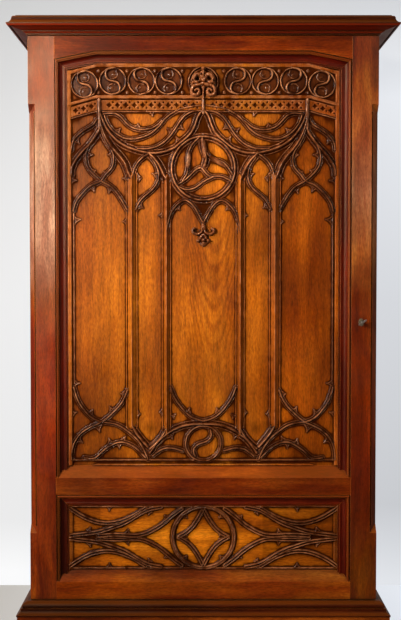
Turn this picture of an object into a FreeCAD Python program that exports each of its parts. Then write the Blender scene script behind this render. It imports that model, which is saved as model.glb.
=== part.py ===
import FreeCAD, Part
import math
import os
import types
import Sketcher

# Bonnetiere: a tall press with one full-width door, two framed panels of blind Gothic tracery,
# a moulded cornice and a stepped base.
# Frame: millimetres, +Z up, the door faces -Y, origin on the floor under the middle of the
# overall depth (cornice front to back boards) and of the width.

Vector = FreeCAD.Vector
doc = FreeCAD.newDocument("bonnetiere")

# ------------------------------------------------------------------ driving dimensions
DIMENSIONS = (
    ("body_width", 1100, "door and carcass, side to side"),
    ("body_depth", 500, "door front to back boards"),
    ("body_height", 1785, "top of the base to the underside of the cornice"),
    ("plinth_height", 77, "plinth boards, floor to moulding"),
    ("plinth_board", 25, "plinth board thickness"),
    ("plinth_inset", 2, "plinth face behind the moulding's lip"),
    ("corner_block", 40, "side of the square blocks inside the plinth"),
    ("base_moulding_height", 43, "base moulding, plinth to body"),
    ("base_projection", 40, "base moulding beyond the body"),
    ("base_rebate", 20, "shelf of the base moulding under the bottom board"),
    ("board_thickness", 22, "bottom board and top board"),
    ("cornice_height", 54, "cornice, body to top"),
    ("cornice_projection", 58, "cornice beyond the body"),
    ("side_thickness", 30, "posts and side rails, across"),
    ("post_width", 75, "posts, front to back"),
    ("side_bottom_rail", 100, "height"),
    ("side_top_rail", 90, "height"),
    ("side_panel_inset", 9, "side panel's tongue behind the frame's outer face"),
    ("side_panel_tongue", 9, "thickness of the side panel's edge"),
    ("side_panel_raise", 5, "raised field above the edge"),
    ("side_panel_bevel", 34, "width of the bevel round the raised field"),
    ("side_panel_margin", 6, "flat edge showing outside the bevel"),
    ("tongue", 8, "how far a panel reaches into its grooves"),
    ("tongue_room", 1, "room past the tongue for the panel to swell"),
    ("tenon_length", 45, "how far a rail reaches into its stile"),
    ("tenon_shoulder", 12, "rail edge to tenon"),
    ("back_board", 12, "back board thickness"),
    ("back_board_count", 4, "boards across the back"),
    ("back_board_room", 0.8, "room between two back boards"),
    ("shelf_count", 3, "shelves"),
    ("shelf_pitch", 440, "one shelf to the next, and the floor to the first"),
    ("shelf_thickness", 20, ""),
    ("shelf_setback", 32, "shelf behind the posts' front"),
    ("cleat", 20, "side of the shelf cleats"),
    ("door_thickness", 36, ""),
    ("door_rest_gap", 1.5, "door back to carcass"),
    ("door_end_gap", 2.5, "over and under the door"),
    ("stile_width", 83, "door stiles"),
    ("top_rail", 48, "door top rail at its middle"),
    ("cant_drop", 26, "how far the opening's top drops at the stiles"),
    ("cant_run", 129, "stile to the kink of the canted head"),
    ("middle_rail_height", 337, "base top to the middle rail"),
    ("middle_rail", 54, "flat face of the middle rail"),
    ("bottom_rail", 58, "base top to the lower sill"),
    ("sill_rise", 36, "sloping sill, front to panel"),
    ("panel_recess", 24, "door face to panel"),
    ("panel_thickness", 8, ""),
    ("tenon_inset", 8, "door face to tenon"),
    ("tenon_thickness", 12, ""),
    ("moulding_width", 38, "frame moulding, stile to carved field"),
    ("carving_height", 12, "carving above the panel"),
    ("carving_step", 5, "lower step of the ribs above the panel"),
    ("border", 12, "flat border of the tall panel"),
    ("lower_border", 6, "flat border of the low panel"),
    ("chamfer_width", 21, "stopped corner moulding, across the face"),
    ("chamfer_depth", 21, "stopped corner moulding, into the edge"),
    ("chamfer_land", 3, "narrow step left along the door's side"),
    ("chamfer_stop", 215, "body end to the start of the corner moulding"),
    ("chamfer_tongue", 24, "slope of the stop"),
    ("quirk_width", 4, "groove beside the corner moulding"),
    ("quirk_depth", 9, ""),
    ("quirk_stop", 22, "the groove starts this much later than the moulding"),
    ("pivot_inset", 12, "pivot axis from the door's side and from its back"),
    ("pin_radius", 4, "pivot pin"),
    ("pin_play", 0.05, "pin to bush, radial"),
    ("pin_reach", 12, "pin inside the door"),
    ("bush_radius", 7, ""),
    ("bush_length", 14, ""),
    ("flange_radius", 9, ""),
    ("flange_play", 0.2, "bush flange to pivot plate"),
    ("plate_thickness", 2.5, "pivot plates"),
    ("plate_length", 50, ""),
    ("plate_margin", 2, "door side to pivot plate"),
    ("plate_screw_inset", 7, "pivot plate's end to its first screw"),
    ("plate_screw_pitch", 13, "first screw of a pivot plate to the second"),
    ("screw_radius", 1.75, ""),
    ("screw_head", 3.5, "radius of the countersunk head"),
    ("screw_length", 16, ""),
    ("screw_slot", 0.8, "width and depth of the slot"),
    ("lock_height", 886, "base top to the key's axis"),
    ("key_inset", 52, "door side to the key's axis"),
    ("case_left", 31, "key axis to the case's hinge side"),
    ("case_right", 19, "key axis to the case's bolt side"),
    ("case_drop", 22, "key axis to the case's underside"),
    ("case_depth", 14, ""),
    ("case_wall", 2, ""),
    ("bolt_rise", 12, "key axis to the bolt's underside"),
    ("bolt_height", 14, ""),
    ("bolt_thickness", 6, ""),
    ("bolt_setback", 3, "lock plate to the bolt"),
    ("bolt_play", 0.2, "bolt to case and keeper"),
    ("bolt_throw", 12, ""),
    ("bolt_proud", 0.5, "bolt's tip past the case at rest"),
    ("keeper_thickness", 2, ""),
    ("keeper_margin", 16, "keeper beyond the bolt, up and down"),
    ("keeper_side", 6, "keeper beyond the bolt, to the back"),
    ("lock_screw_inset", 6, "screws inside the ends of case and keeper"),
    ("guide_width", 11, "bolt guide inside the case"),
    ("guide_height", 3, ""),
    ("bolt_notch_width", 12, "notch in the bolt's underside for the bit"),
    ("bolt_notch_height", 3, ""),
    ("key_shank", 3, "radius"),
    ("key_bore", 1.5, "radius of the lock's pin"),
    ("key_collar", 1.5, "collar beyond the shank, radial"),
    ("key_collar_length", 3, ""),
    ("key_reach", 24, "door face to the bow"),
    ("key_bit", 10.5, "axis to the end of the bit"),
    ("key_bit_thickness", 3, ""),
    ("key_bit_width", 5, "along the axis"),
    ("bow_width", 30, "across the key"),
    ("bow_length", 22, "along the key"),
    ("bow_thickness", 3.5, ""),
    ("bow_rim", 4.5, ""),
    ("key_tilt", 35, "degrees, bow to the horizontal at rest"),
    ("escutcheon_width", 17, ""),
    ("escutcheon_height", 25, ""),
    ("escutcheon_thickness", 1.2, ""),
    ("keyhole_radius", 3.6, ""),
    ("keyhole_drop", 11, "axis to the end of the slot"),
    ("mullion_outer", 227, "axis to the outer mullion, at the ribs' drawn width"),
    ("mullion_inner", 117, "axis to the inner mullion, at the ribs' drawn width"),
    ("mullion_width", 32, "foot of a mullion's ridge"),
    ("rib_width", 18, "lower step of a rib"),
    ("ridge_width", 7, "upper step of a rib"),
    ("roundel_radius", 100, "wheel in the head of the middle light"),
    ("roundel_drop", 219, "string course to the middle of the wheel"),
    ("foot_wheel_radius", 56, "small wheel between the middle light's feet"),
    ("foot_wheel_rise", 71, "sill to the middle of the small wheel"),
    ("foot_bead_rise", 18, "sill to the bead along the tracery's foot"),
    ("low_wheel_radius", 99, "wheel of the low panel"),
    ("frieze_wheel_radius", 40, ""),
    ("frieze_pitch", 89, "one wheel of the frieze to the next"),
    ("frieze_first", 108, "axis to the first wheel of the frieze"),
    ("frieze_rise", 45, "top of the string course to the wheels of the frieze"),
    ("frieze_side_drop", 10, "the outermost wheels sit this much lower"),
    ("string_height", 10, "string course"),
    ("string_drop", 137, "middle of the opening's head to the string course"),
    ("string_cant", 25, "drop of the string course at the border"),
    ("string_gap", 4, "string course to the notched band"),
    ("notched_band", 34, "band under the string course"),
    ("notch_pitch", 26.6, "notches of the band"),
    ("notch_reach", 9, "middle of a notch to its side"),
    ("notch_rise", 12, "middle of a notch to its top"),
    ("springing", 252, "string course to the mullions' heads"),
    ("mullion_outer_foot", 128, "sill to the outer mullion's foot"),
    ("mullion_inner_foot", 100, "sill to the inner mullion's foot"),
    ("finial_rise", 96, "top finial, string course to its knob"),
    ("finial_half_width", 36, ""),
    ("pendant_foot", 465, "string course to the pendant's lower end"),
    ("pendant_rise", 66, "pendant, foot to head"),
    ("pendant_half_width", 36, ""),
)

sheet = doc.addObject("Spreadsheet::Sheet", "dims")
for row, (alias, number, note) in enumerate(DIMENSIONS, start=1):
    sheet.set("A%d" % row, alias)
    sheet.set("B%d" % row, str(number))
    sheet.set("C%d" % row, note)
    sheet.setAlias("B%d" % row, alias)
doc.recompute()


class Size:
    """A length worked out from the sheet, with the expression that binds an object to it."""

    def __init__(self, number, text):
        self.number = float(number)
        self.text = text

    def __float__(self):
        return self.number

    def __neg__(self):
        return Size(-self.number, "(-%s)" % self.text)

    def __add__(self, other):
        other = as_size(other)
        return Size(self.number + other.number, "(%s + %s)" % (self.text, other.text))

    def __sub__(self, other):
        other = as_size(other)
        return Size(self.number - other.number, "(%s - %s)" % (self.text, other.text))

    def __mul__(self, other):
        other = as_size(other)
        return Size(self.number * other.number, "(%s * %s)" % (self.text, other.text))

    def __truediv__(self, other):
        other = as_size(other)
        return Size(self.number / other.number, "(%s / %s)" % (self.text, other.text))

    def __radd__(self, other):
        return as_size(other) + self

    def __rsub__(self, other):
        return as_size(other) - self

    def __rmul__(self, other):
        return as_size(other) * self


def as_size(number):
    if isinstance(number, Size):
        return number
    return Size(number, "(%.10g)" % number)


dim = types.SimpleNamespace()
for alias, _, _ in DIMENSIONS:
    setattr(dim, alias, Size(sheet.get(alias), "dims." + alias))

# ------------------------------------------------------------------ places used by many pieces
half = dim.body_width / 2
front = (dim.cornice_projection - dim.body_depth) / 2
back = front + dim.body_depth
base_top = dim.plinth_height + dim.base_moulding_height
body_top = base_top + dim.body_height
door_back = front + dim.door_thickness
carcass_front = door_back + dim.door_rest_gap
door_foot = base_top + dim.door_end_gap
door_head = body_top - dim.door_end_gap
post_inside = half - dim.side_thickness
back_inside = back - dim.back_board
opening = half - dim.stile_width
panel_front = front + dim.panel_recess
panel_back = panel_front + dim.panel_thickness
carving_front = panel_front - dim.carving_height
upper_sill = base_top + dim.middle_rail_height + dim.middle_rail
lower_sill = base_top + dim.bottom_rail
upper_head = body_top - dim.top_rail
lower_head = base_top + dim.middle_rail_height
kink = opening - dim.cant_run
pivot_x = dim.pivot_inset - half
pivot_y = door_back - dim.pivot_inset
key_x = half - dim.key_inset
key_z = base_top + dim.lock_height

nodes = []


def node(piece, label):
    """Name a finished piece. Its label is the name of its file."""
    piece.Label = label
    nodes.append(piece)
    return piece


def place(piece, x, y, z):
    for edge, size in (("x", x), ("y", y), ("z", z)):
        piece.setExpression("Placement.Base." + edge, as_size(size).text)


def box(x, y, z):
    """A board between two corners: x, y and z are pairs, low and high."""
    board = doc.addObject("Part::Box", "board")
    for edge, (low, high) in (("Length", x), ("Width", y), ("Height", z)):
        board.setExpression(edge, (as_size(high) - low).text)
    place(board, x[0], y[0], z[0])
    return board


def cylinder(radius, length, x, y, z, axis="Z"):
    """A round bar that starts at x, y, z and runs up along Z or back along Y."""
    bar = doc.addObject("Part::Cylinder", "bar")
    bar.setExpression("Radius", as_size(radius).text)
    bar.setExpression("Height", as_size(length).text)
    if axis == "Y":
        bar.Placement.Rotation = FreeCAD.Rotation(Vector(1, 0, 0), -90)
    place(bar, x, y, z)
    return bar


def fused(pieces):
    if len(pieces) == 1:
        return pieces[0]
    joined = doc.addObject("Part::MultiFuse", "joined")
    joined.Shapes = pieces
    return joined


def cut(piece, tools):
    result = doc.addObject("Part::Cut", "worked")
    result.Base = piece
    result.Tool = fused(tools)
    return result


def group(pieces):
    """Separate solids that share one node."""
    together = doc.addObject("Part::Compound", "group")
    together.Links = pieces
    return together


def shaped(shape):
    feature = doc.addObject("Part::Feature", "shape")
    feature.Shape = shape
    return feature


def span(sign, inner, outer):
    """Low and high of a distance from the axis, on the left (-1) or on the right (1)."""
    return (inner, outer) if sign > 0 else (-outer, -inner)


def plane_of(body, role):
    return next(plane for plane in body.Origin.OriginFeatures if plane.Role == role)


def polygon_pad(role, corners, length, at):
    """A body padded from a polygon on one of its origin planes, moved to the place at."""
    body = doc.addObject("PartDesign::Body", "body")
    sketch = body.newObject("Sketcher::SketchObject", "outline")
    sketch.AttachmentSupport = [(plane_of(body, role), "")]
    sketch.MapMode = "FlatFace"
    spots = [Vector(float(a), float(b), 0) for a, b in corners]
    for index, spot in enumerate(spots):
        sketch.addGeometry(Part.LineSegment(spot, spots[(index + 1) % len(spots)]))
    for index, corner in enumerate(corners):
        previous = (index - 1) % len(corners)
        sketch.addConstraint(Sketcher.Constraint("Coincident", previous, 2, index, 1))
        for kind, size in zip(("DistanceX", "DistanceY"), corner):
            rule = sketch.addConstraint(Sketcher.Constraint(kind, index, 1, float(size)))
            sketch.setExpression("Constraints[%d]" % rule, as_size(size).text)
    pad = body.newObject("PartDesign::Pad", "pad")
    pad.Profile = sketch
    pad.setExpression("Length", as_size(length).text)
    pad.Reversed = role == "XZ_Plane"
    place(body, *at)
    return body


# ------------------------------------------------------------------ mouldings
def outline_wire(steps, to_point):
    """A closed wire. A step is a corner, or the middle and the end of an arc."""
    edges = []
    here = to_point(*steps[0])
    for step in list(steps[1:]) + [steps[0]]:
        if isinstance(step[0], tuple):
            middle, end = (to_point(*spot) for spot in step)
            edges.append(Part.Arc(here, middle, end).toShape())
        else:
            end = to_point(*step)
            edges.append(Part.LineSegment(here, end).toShape())
        here = end
    return Part.Wire(edges)


def corner_direction(before, after):
    """The line of a mitre: along it the distance from both neighbouring lengths is the same."""
    middle = before + after
    return middle * (1 / middle.dot(before))


def moulding_lengths(path, steps, depth_range, to_space):
    """The mitred lengths of a moulding along a path that keeps its face on the left.

    path is a list of flat points, steps the section as (distance off the path, third axis).
    """
    spots = [Vector(float(a), float(b), 0) for a, b in path]
    runs = [(end - start).normalize() for start, end in zip(spots, spots[1:])]
    sides = [Vector(-run.y, run.x, 0) for run in runs]
    reach = max(abs(float(spot[0])) for step in steps
                for spot in (step if isinstance(step[0], tuple) else (step,))) + 1
    low, high = (float(edge) for edge in depth_range)
    lengths = []
    for index, (run, side) in enumerate(zip(runs, sides)):
        start, end = spots[index], spots[index + 1]
        first = corner_direction(side, sides[index - 1]) if index else side
        last = corner_direction(side, sides[index + 1]) if index + 1 < len(runs) else side
        slack = 2 * reach
        tail = start - run * slack

        def section_point(off, third):
            spot = tail + side * float(off)
            return to_space(spot.x, spot.y, float(third))

        bar = Part.Face(outline_wire(steps, section_point))
        along = end - start + run * (2 * slack)
        bar = bar.extrude(to_space(along.x, along.y, 0) - to_space(0, 0, 0))
        corners = [start - first * reach, end - last * reach, end + last * reach, start + first * reach]
        zone = Part.Face(Part.makePolygon([to_space(spot.x, spot.y, low) for spot in corners + corners[:1]]))
        zone = zone.extrude(to_space(0, 0, high) - to_space(0, 0, low))
        lengths.append(bar.common(zone).Solids[0])
    return lengths


def plan_space(a, b, third):
    return Vector(a, b, third)


def front_space(a, b, third):
    return Vector(a, third, b)


# The outer moulded lengths run round the right side, the front and the left side of the body.
BODY_PATH = ((half, back), (half, front), (-half, front), (-half, back))


def fitted(section, width, height, to_step):
    """The steps of a section, stretched to its real width and height and put in place by to_step."""
    spots = [step if isinstance(step[0], tuple) else (step,) for step in section]
    wide = float(width) / max(a for step in spots for a, _ in step)
    tall = float(height) / max(b for step in spots for _, b in step)
    steps = []
    for step in spots:
        moved = tuple(to_step(a * wide, b * tall) for a, b in step)
        steps.append(moved if len(moved) > 1 else moved[0])
    return steps


# ------------------------------------------------------------------ base
# Section of the base moulding: distance beyond the body, distance below its top.
BASE_SECTION_DOWN = (
    (10, 0), (12, 2), ((20, 6), (24, 15)), (24, 17), (21, 17), (21, 20), (28, 20), (28, 23),
    ((31, 33), (39, 38)), (40, 38), (40, 43),
)


def build_base():
    face = half + dim.base_projection - dim.plinth_inset
    face_front = front - dim.base_projection + dim.plinth_inset
    inner = face - dim.plinth_board
    inner_front = face_front + dim.plinth_board
    inner_back = back - dim.plinth_board
    height = dim.plinth_height
    node(polygon_pad("XY_Plane", [(-face, face_front), (face, face_front), (inner, inner_front),
                                  (-inner, inner_front)], height, (0, 0, 0)), "plinth_front")
    for name, sign in (("left", -1), ("right", 1)):
        corners = [(face * sign, face_front), (face * sign, back), (inner * sign, back),
                   (inner * sign, inner_front)]
        node(polygon_pad("XY_Plane", corners, height, (0, 0, 0)), "plinth_" + name)
    rebate = half - dim.base_rebate
    board_under = base_top - dim.board_thickness
    ledger = box((-rebate, rebate), (inner_back, back), (height, board_under))
    node(fused([box((-inner, inner), (inner_back, back), (0, height)), ledger]), "plinth_back")
    blocks = []
    for sign in (-1, 1):
        for edge in (inner_front, inner_back - dim.corner_block):
            x = span(sign, inner - dim.corner_block, inner)
            blocks.append(box(x, (edge, edge + dim.corner_block), (0, height)))
    node(group(blocks), "plinth_blocks")

    steps = [(-dim.base_rebate, height), (-dim.base_rebate, board_under), (0, board_under), (0, base_top)]
    steps += fitted(BASE_SECTION_DOWN, dim.base_projection, dim.base_moulding_height,
                    lambda out, down: (out, base_top - down))
    lengths = moulding_lengths(BODY_PATH, steps, (height - 1, base_top + 1), plan_space)
    for name, length in zip(("right", "front", "left"), lengths):
        node(shaped(length), "base_moulding_" + name)


# ------------------------------------------------------------------ cornice
# Section of the cornice: distance beyond the body, distance above its underside.
CORNICE_SECTION_UP = (
    (4, 0), (4, 4), ((8, 5), (12, 8)), (15, 8), (15, 11), ((27, 13), (44, 18)), (44, 21), (49, 21),
    (49, 18), ((55, 19.5), (58, 24)), (58, 27), ((48, 33), (44, 42)), ((41, 49), (33, 51)), (33, 54),
)


def build_cornice():
    steps = [(0, body_top)] + fitted(CORNICE_SECTION_UP, dim.cornice_projection, dim.cornice_height,
                                     lambda out, up: (out, body_top + up))
    steps.append((0, body_top + dim.cornice_height))
    lengths = moulding_lengths(BODY_PATH, steps, (body_top - 1, body_top + dim.cornice_height + 1),
                               plan_space)
    for name, length in zip(("right", "front", "left"), lengths):
        node(shaped(length), "cornice_" + name)


# ------------------------------------------------------------------ carcass
side_rails = (
    ("bottom", base_top, base_top + dim.side_bottom_rail),
    ("middle", lower_head, upper_sill + dim.sill_rise),
    ("top", body_top - dim.side_top_rail, body_top),
)
bolt_low = key_z + dim.bolt_rise
bolt_high = bolt_low + dim.bolt_height
bolt_front = door_back + dim.case_wall + dim.bolt_setback
bolt_back = bolt_front + dim.bolt_thickness


def screw(x, y, z, direction, turn=0):
    """A countersunk screw whose head lies level with the face at x, y, z and points along direction."""
    head_depth = dim.screw_head - dim.screw_radius
    shape = Part.makeCone(float(dim.screw_head), float(dim.screw_radius), float(head_depth))
    shape = shape.fuse(Part.makeCylinder(float(dim.screw_radius), float(dim.screw_length)))
    shape = shape.removeSplitter()
    wide, slot = 3 * float(dim.screw_head), float(dim.screw_slot)
    slot_tool = Part.makeBox(wide, slot, 2 * slot, Vector(-wide / 2, -slot / 2, -slot))
    slot_tool.rotate(Vector(0, 0, 0), Vector(0, 0, 1), turn)
    shape = shape.cut(slot_tool)
    shape.Placement = FreeCAD.Placement(Vector(float(x), float(y), float(z)),
                                        FreeCAD.Rotation(Vector(0, 0, 1), direction))
    return shape


def plug(x, y, z, direction):
    """The whole space a screw fills, slot and all."""
    head_depth = dim.screw_head - dim.screw_radius
    shape = Part.makeCone(float(dim.screw_head), float(dim.screw_radius), float(head_depth))
    shape = shape.fuse(Part.makeCylinder(float(dim.screw_radius), float(dim.screw_length)))
    shape.Placement = FreeCAD.Placement(Vector(float(x), float(y), float(z)),
                                        FreeCAD.Rotation(Vector(0, 0, 1), direction))
    return shape


UP = Vector(0, 0, 1)
DOWN = Vector(0, 0, -1)
RIGHT = Vector(1, 0, 0)
FORWARD = Vector(0, -1, 0)

plate_low = -half + dim.plate_margin
plate_high = plate_low + dim.plate_length
plate_screws = [(plate_high - dim.plate_screw_inset, pivot_y),
                (plate_high - dim.plate_screw_inset - dim.plate_screw_pitch, pivot_y)]
keeper_middle = (bolt_low + bolt_high) / 2
keeper_reach = dim.bolt_height / 2 + dim.keeper_margin
keeper_screws = [keeper_middle + sign * (keeper_reach - dim.lock_screw_inset) for sign in (-1, 1)]
keeper_y = (carcass_front, bolt_back + dim.keeper_side)
keeper_screw_y = (bolt_front + bolt_back) / 2


def build_sides():
    tongue = dim.tongue
    room = dim.tongue_room
    panel_out = half - dim.side_panel_inset
    panel_in = panel_out - dim.side_panel_tongue
    front_edge = carcass_front + dim.post_width
    back_edge = back - dim.post_width
    for name, sign in (("left", -1), ("right", 1)):
        frame_x = span(sign, post_inside, half)
        groove_x = span(sign, panel_in, panel_out)
        grooves = []
        for level, low_rail, high_rail in zip(("lower", "upper"), side_rails, side_rails[1:]):
            low, high = low_rail[2], high_rail[1]
            edge = tongue + room
            grooves.append(box(groove_x, (front_edge - edge, back_edge + edge), (low - edge, high + edge)))
            panel = box(groove_x, (front_edge - tongue, back_edge + tongue), (low - tongue, high + tongue))
            raised = side_field(sign, panel_out, (front_edge, back_edge), (low, high))
            node(fused([panel, raised]), "%s_%s_panel" % (name, level))
        mortises = []
        for level, low, high in side_rails:
            rail = box(frame_x, (front_edge, back_edge), (low, high))
            tenon = box(groove_x, (front_edge - dim.tenon_length, back_edge + dim.tenon_length),
                        (low + dim.tenon_shoulder, high - dim.tenon_shoulder))
            mortises.append(tenon)
            node(cut(fused([rail, tenon]), grooves), "%s_%s_rail" % (name, level))
        front_post = box(frame_x, (carcass_front, front_edge), (base_top, body_top))
        front_tools = mortises + grooves
        if name == "right":
            front_tools = front_tools + keeper_pockets()
        node(cut(front_post, front_tools), name + "_front_post")
        back_post = box(frame_x, (back_edge, back), (base_top, body_top))
        node(cut(back_post, mortises + grooves), name + "_back_post")


def side_field(sign, low_x, edges_y, edges_z):
    """The raised field of a side panel: a low truncated pyramid on the tongue board."""
    margin = dim.side_panel_margin
    bevel = dim.side_panel_bevel
    depth = edges_y[1] - edges_y[0]
    height = edges_z[1] - edges_z[0]
    field = doc.addObject("Part::Wedge", "field")
    rules = {
        "Xmin": margin, "Xmax": depth - margin, "X2min": margin + bevel, "X2max": depth - margin - bevel,
        "Zmin": margin, "Zmax": height - margin, "Z2min": margin + bevel, "Z2max": height - margin - bevel,
        "Ymin": as_size(0), "Ymax": dim.side_panel_raise,
    }
    for rule, size in rules.items():
        field.setExpression(rule, as_size(size).text)
    field.Placement.Rotation = FreeCAD.Rotation(Vector(0, 0, 1), -90 * sign)
    place(field, sign * low_x, edges_y[1] if sign > 0 else edges_y[0], edges_z[0])
    return field


def keeper_pockets():
    plate = box((post_inside, post_inside + dim.keeper_thickness), keeper_y,
                (keeper_middle - keeper_reach, keeper_middle + keeper_reach))
    play = dim.bolt_play
    hole = box((post_inside, post_inside + dim.bolt_throw + dim.tongue_room),
               (bolt_front - play, bolt_back + play), (bolt_low - play, bolt_high + play))
    holes = [shaped(plug(post_inside, keeper_screw_y, z, RIGHT)) for z in keeper_screws]
    return [plate, hole] + holes


def build_boards():
    plate_y = (pivot_y - dim.pivot_inset, pivot_y + dim.pivot_inset)
    for label, face, low, high, direction in (
            ("bottom_board", base_top, base_top - dim.board_thickness, base_top, DOWN),
            ("top_board", body_top, body_top, body_top + dim.board_thickness, UP)):
        inward = dim.plate_thickness if direction is UP else -dim.plate_thickness
        depth = (face, face + inward) if direction is UP else (face + inward, face)
        pocket = box((plate_low, plate_high), plate_y, depth)
        holes = [shaped(plug(x, y, face, direction)) for x, y in plate_screws]
        board = box((-half, half), (front, back), (low, high))
        node(cut(board, [pocket] + holes), label)

    inside = 2 * post_inside
    width = (inside - dim.back_board_room * (dim.back_board_count - 1)) / dim.back_board_count
    boards = []
    for index in range(round(float(dim.back_board_count))):
        low = -post_inside + index * (width + dim.back_board_room)
        boards.append(box((low, low + width), (back_inside, back), (base_top, body_top)))
    node(group(boards), "back_boards")

    shelf_front = carcass_front + dim.shelf_setback
    cleats = []
    for index in range(round(float(dim.shelf_count))):
        seat = base_top + (index + 1) * dim.shelf_pitch
        shelf = box((-post_inside, post_inside), (shelf_front, back_inside),
                    (seat, seat + dim.shelf_thickness))
        node(shelf, "shelf_%d" % (index + 1))
        for sign in (-1, 1):
            cleats.append(box(span(sign, post_inside - dim.cleat, post_inside),
                              (shelf_front, back_inside), (seat - dim.cleat, seat)))
    node(group(cleats), "shelf_cleats")


# ------------------------------------------------------------------ door frame and panels
def opening_outline(grow, sill, head, drop):
    """The door's opening, grown by a margin: a rectangle whose top corners may be canted."""
    side = opening + grow
    low, high = sill - grow, head + grow
    if drop is None:
        return [(-side, low), (side, low), (side, high), (-side, high)]
    canted = high - drop
    return [(-side, low), (side, low), (side, canted), (kink, high), (-kink, high), (-side, canted)]


door_lights = (
    ("upper", upper_sill + dim.sill_rise, upper_head, dim.cant_drop),
    ("lower", lower_sill + dim.sill_rise, lower_head, None),
)
door_tenons = (
    (upper_head, door_head - dim.tenon_shoulder),
    (lower_head + dim.tenon_shoulder, upper_sill - dim.tenon_shoulder),
    (door_foot + dim.tenon_shoulder, lower_sill - dim.tenon_shoulder),
)


def sill_rail(low, face_top):
    """A rail whose upper front edge slopes back to the panel."""
    back_top = face_top + dim.sill_rise
    corners = [(front, low), (front, face_top), (panel_front, back_top), (door_back, back_top),
               (door_back, low)]
    return polygon_pad("YZ_Plane", corners, 2 * opening, (-opening, 0, 0))


def corner_moulding_tool(sign):
    """What the stopped moulding takes off a front corner of the door."""
    low = base_top + dim.chamfer_stop
    high = body_top - dim.chamfer_stop
    slope = doc.addObject("Part::Wedge", "slope")
    side = half - dim.chamfer_width
    near = (-half, -half + dim.chamfer_land) if sign < 0 else (half - dim.chamfer_land, half)
    wide = (-half, -side) if sign < 0 else (side, half)
    rules = {
        "Xmin": wide[0], "Xmax": wide[1], "X2min": near[0], "X2max": near[1],
        "Zmin": low, "Zmax": high, "Z2min": low + dim.chamfer_tongue, "Z2max": high - dim.chamfer_tongue,
        "Ymin": front, "Ymax": front + dim.chamfer_depth,
    }
    for rule, size in rules.items():
        slope.setExpression(rule, as_size(size).text)
    inset = dim.quirk_stop
    quirk = box(span(sign, side, side + dim.quirk_width), (front, front + dim.quirk_depth),
                (low + inset, high - inset))
    land = box(span(sign, half - dim.chamfer_land, half), (front, front + dim.panel_recess),
               (low + dim.chamfer_tongue, high - dim.chamfer_tongue))
    return [slope, quirk, land]


def build_door_frame():
    slots = []
    edge = dim.tongue + dim.tongue_room
    for level, sill, head, drop in door_lights:
        panel = polygon_pad("XZ_Plane", opening_outline(dim.tongue, sill, head, drop),
                            dim.panel_thickness, (0, panel_front, 0))
        node(panel, level + "_panel")
        slots.append(polygon_pad("XZ_Plane", opening_outline(edge, sill, head, drop),
                                 dim.panel_thickness, (0, panel_front, 0)))
    tenon_y = (front + dim.tenon_inset, front + dim.tenon_inset + dim.tenon_thickness)
    reach = opening + dim.tenon_length
    tenons = [box((-reach, reach), tenon_y, span_z) for span_z in door_tenons]
    head_rail = polygon_pad("XZ_Plane", [
        (-opening, door_head), (-opening, upper_head - dim.cant_drop), (-kink, upper_head),
        (kink, upper_head), (opening, upper_head - dim.cant_drop), (opening, door_head),
    ], dim.door_thickness, (0, front, 0))
    node(cut(fused([head_rail, tenons[0]]), slots[:1]), "door_top_rail")
    node(cut(fused([sill_rail(lower_head, upper_sill), tenons[1]]), slots), "door_middle_rail")
    node(cut(fused([sill_rail(door_foot, lower_sill), tenons[2]]), slots[1:]), "door_bottom_rail")

    height = (door_foot, door_head)
    thickness = (front, door_back)
    rounding = dim.pivot_inset
    corner = cut(box((-half, pivot_x), (pivot_y, door_back), height),
                 [cylinder(rounding, door_head - door_foot, pivot_x, pivot_y, door_foot)])
    bush_low = cylinder(dim.bush_radius, dim.bush_length + dim.tongue_room, pivot_x, pivot_y, door_foot)
    bush_high = cylinder(dim.bush_radius, dim.bush_length + dim.tongue_room, pivot_x, pivot_y,
                         door_head - dim.bush_length - dim.tongue_room)
    hinge_stile = box((-half, -opening), thickness, height)
    node(cut(hinge_stile, tenons + slots + corner_moulding_tool(-1) + [corner, bush_low, bush_high]),
         "hinge_stile")
    keyhole = keyhole_tool(front, dim.door_thickness)
    holes = [shaped(plug(x, door_back + dim.case_wall, z, FORWARD)) for x, z in case_screws]
    lock_stile = box((opening, half), thickness, height)
    node(cut(lock_stile, tenons + slots + corner_moulding_tool(1) + keyhole + holes), "lock_stile")


def keyhole_tool(start, depth):
    """A round hole with a slot below it, for the key to pass."""
    slot = dim.keyhole_radius / 2
    return [cylinder(dim.keyhole_radius, depth, key_x, start, key_z, "Y"),
            box((key_x - slot, key_x + slot), (start, start + depth), (key_z - dim.keyhole_drop, key_z))]


# Section of the frame moulding: distance inside the opening, distance behind the door's face.
FRAME_SECTION = (
    (0, 24), (0, 5), (3, 5), (3, 3), ((6, 0), (9, 3)), (11, 3), ((16, 12), (29, 14)), (33, 14), (33, 17),
    (38, 17), (38, 24),
)


def build_frame_mouldings():
    steps = fitted(FRAME_SECTION, dim.moulding_width, dim.panel_recess,
                   lambda inside, deep: (inside, front + deep))
    for level, sill, head, drop in door_lights:
        foot = sill - dim.sill_rise
        if drop is None:
            path = [(opening, foot), (opening, head), (-opening, head), (-opening, foot)]
        else:
            path = [(opening, foot), (opening, head - drop), (kink, head), (-kink, head),
                    (-opening, head - drop), (-opening, foot)]
        lengths = moulding_lengths(path, steps, (front - 1, panel_front + 1), front_space)
        slope = [(front, foot), (panel_front, foot + dim.sill_rise), (panel_front, foot - 1),
                 (front, foot - 1)]
        slope = Part.Face(outline_wire(slope, lambda a, b: Vector(0, float(a), float(b))))
        slope.translate(Vector(-float(half), 0, 0))
        slope = slope.extrude(Vector(float(dim.body_width), 0, 0))
        head_length = lengths[1].multiFuse(lengths[2:-1]) if len(lengths) > 3 else lengths[1]
        node(shaped(lengths[-1].cut(slope)), level + "_moulding_left")
        node(shaped(head_length.removeSplitter()), level + "_moulding_head")
        node(shaped(lengths[0].cut(slope)), level + "_moulding_right")


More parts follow.
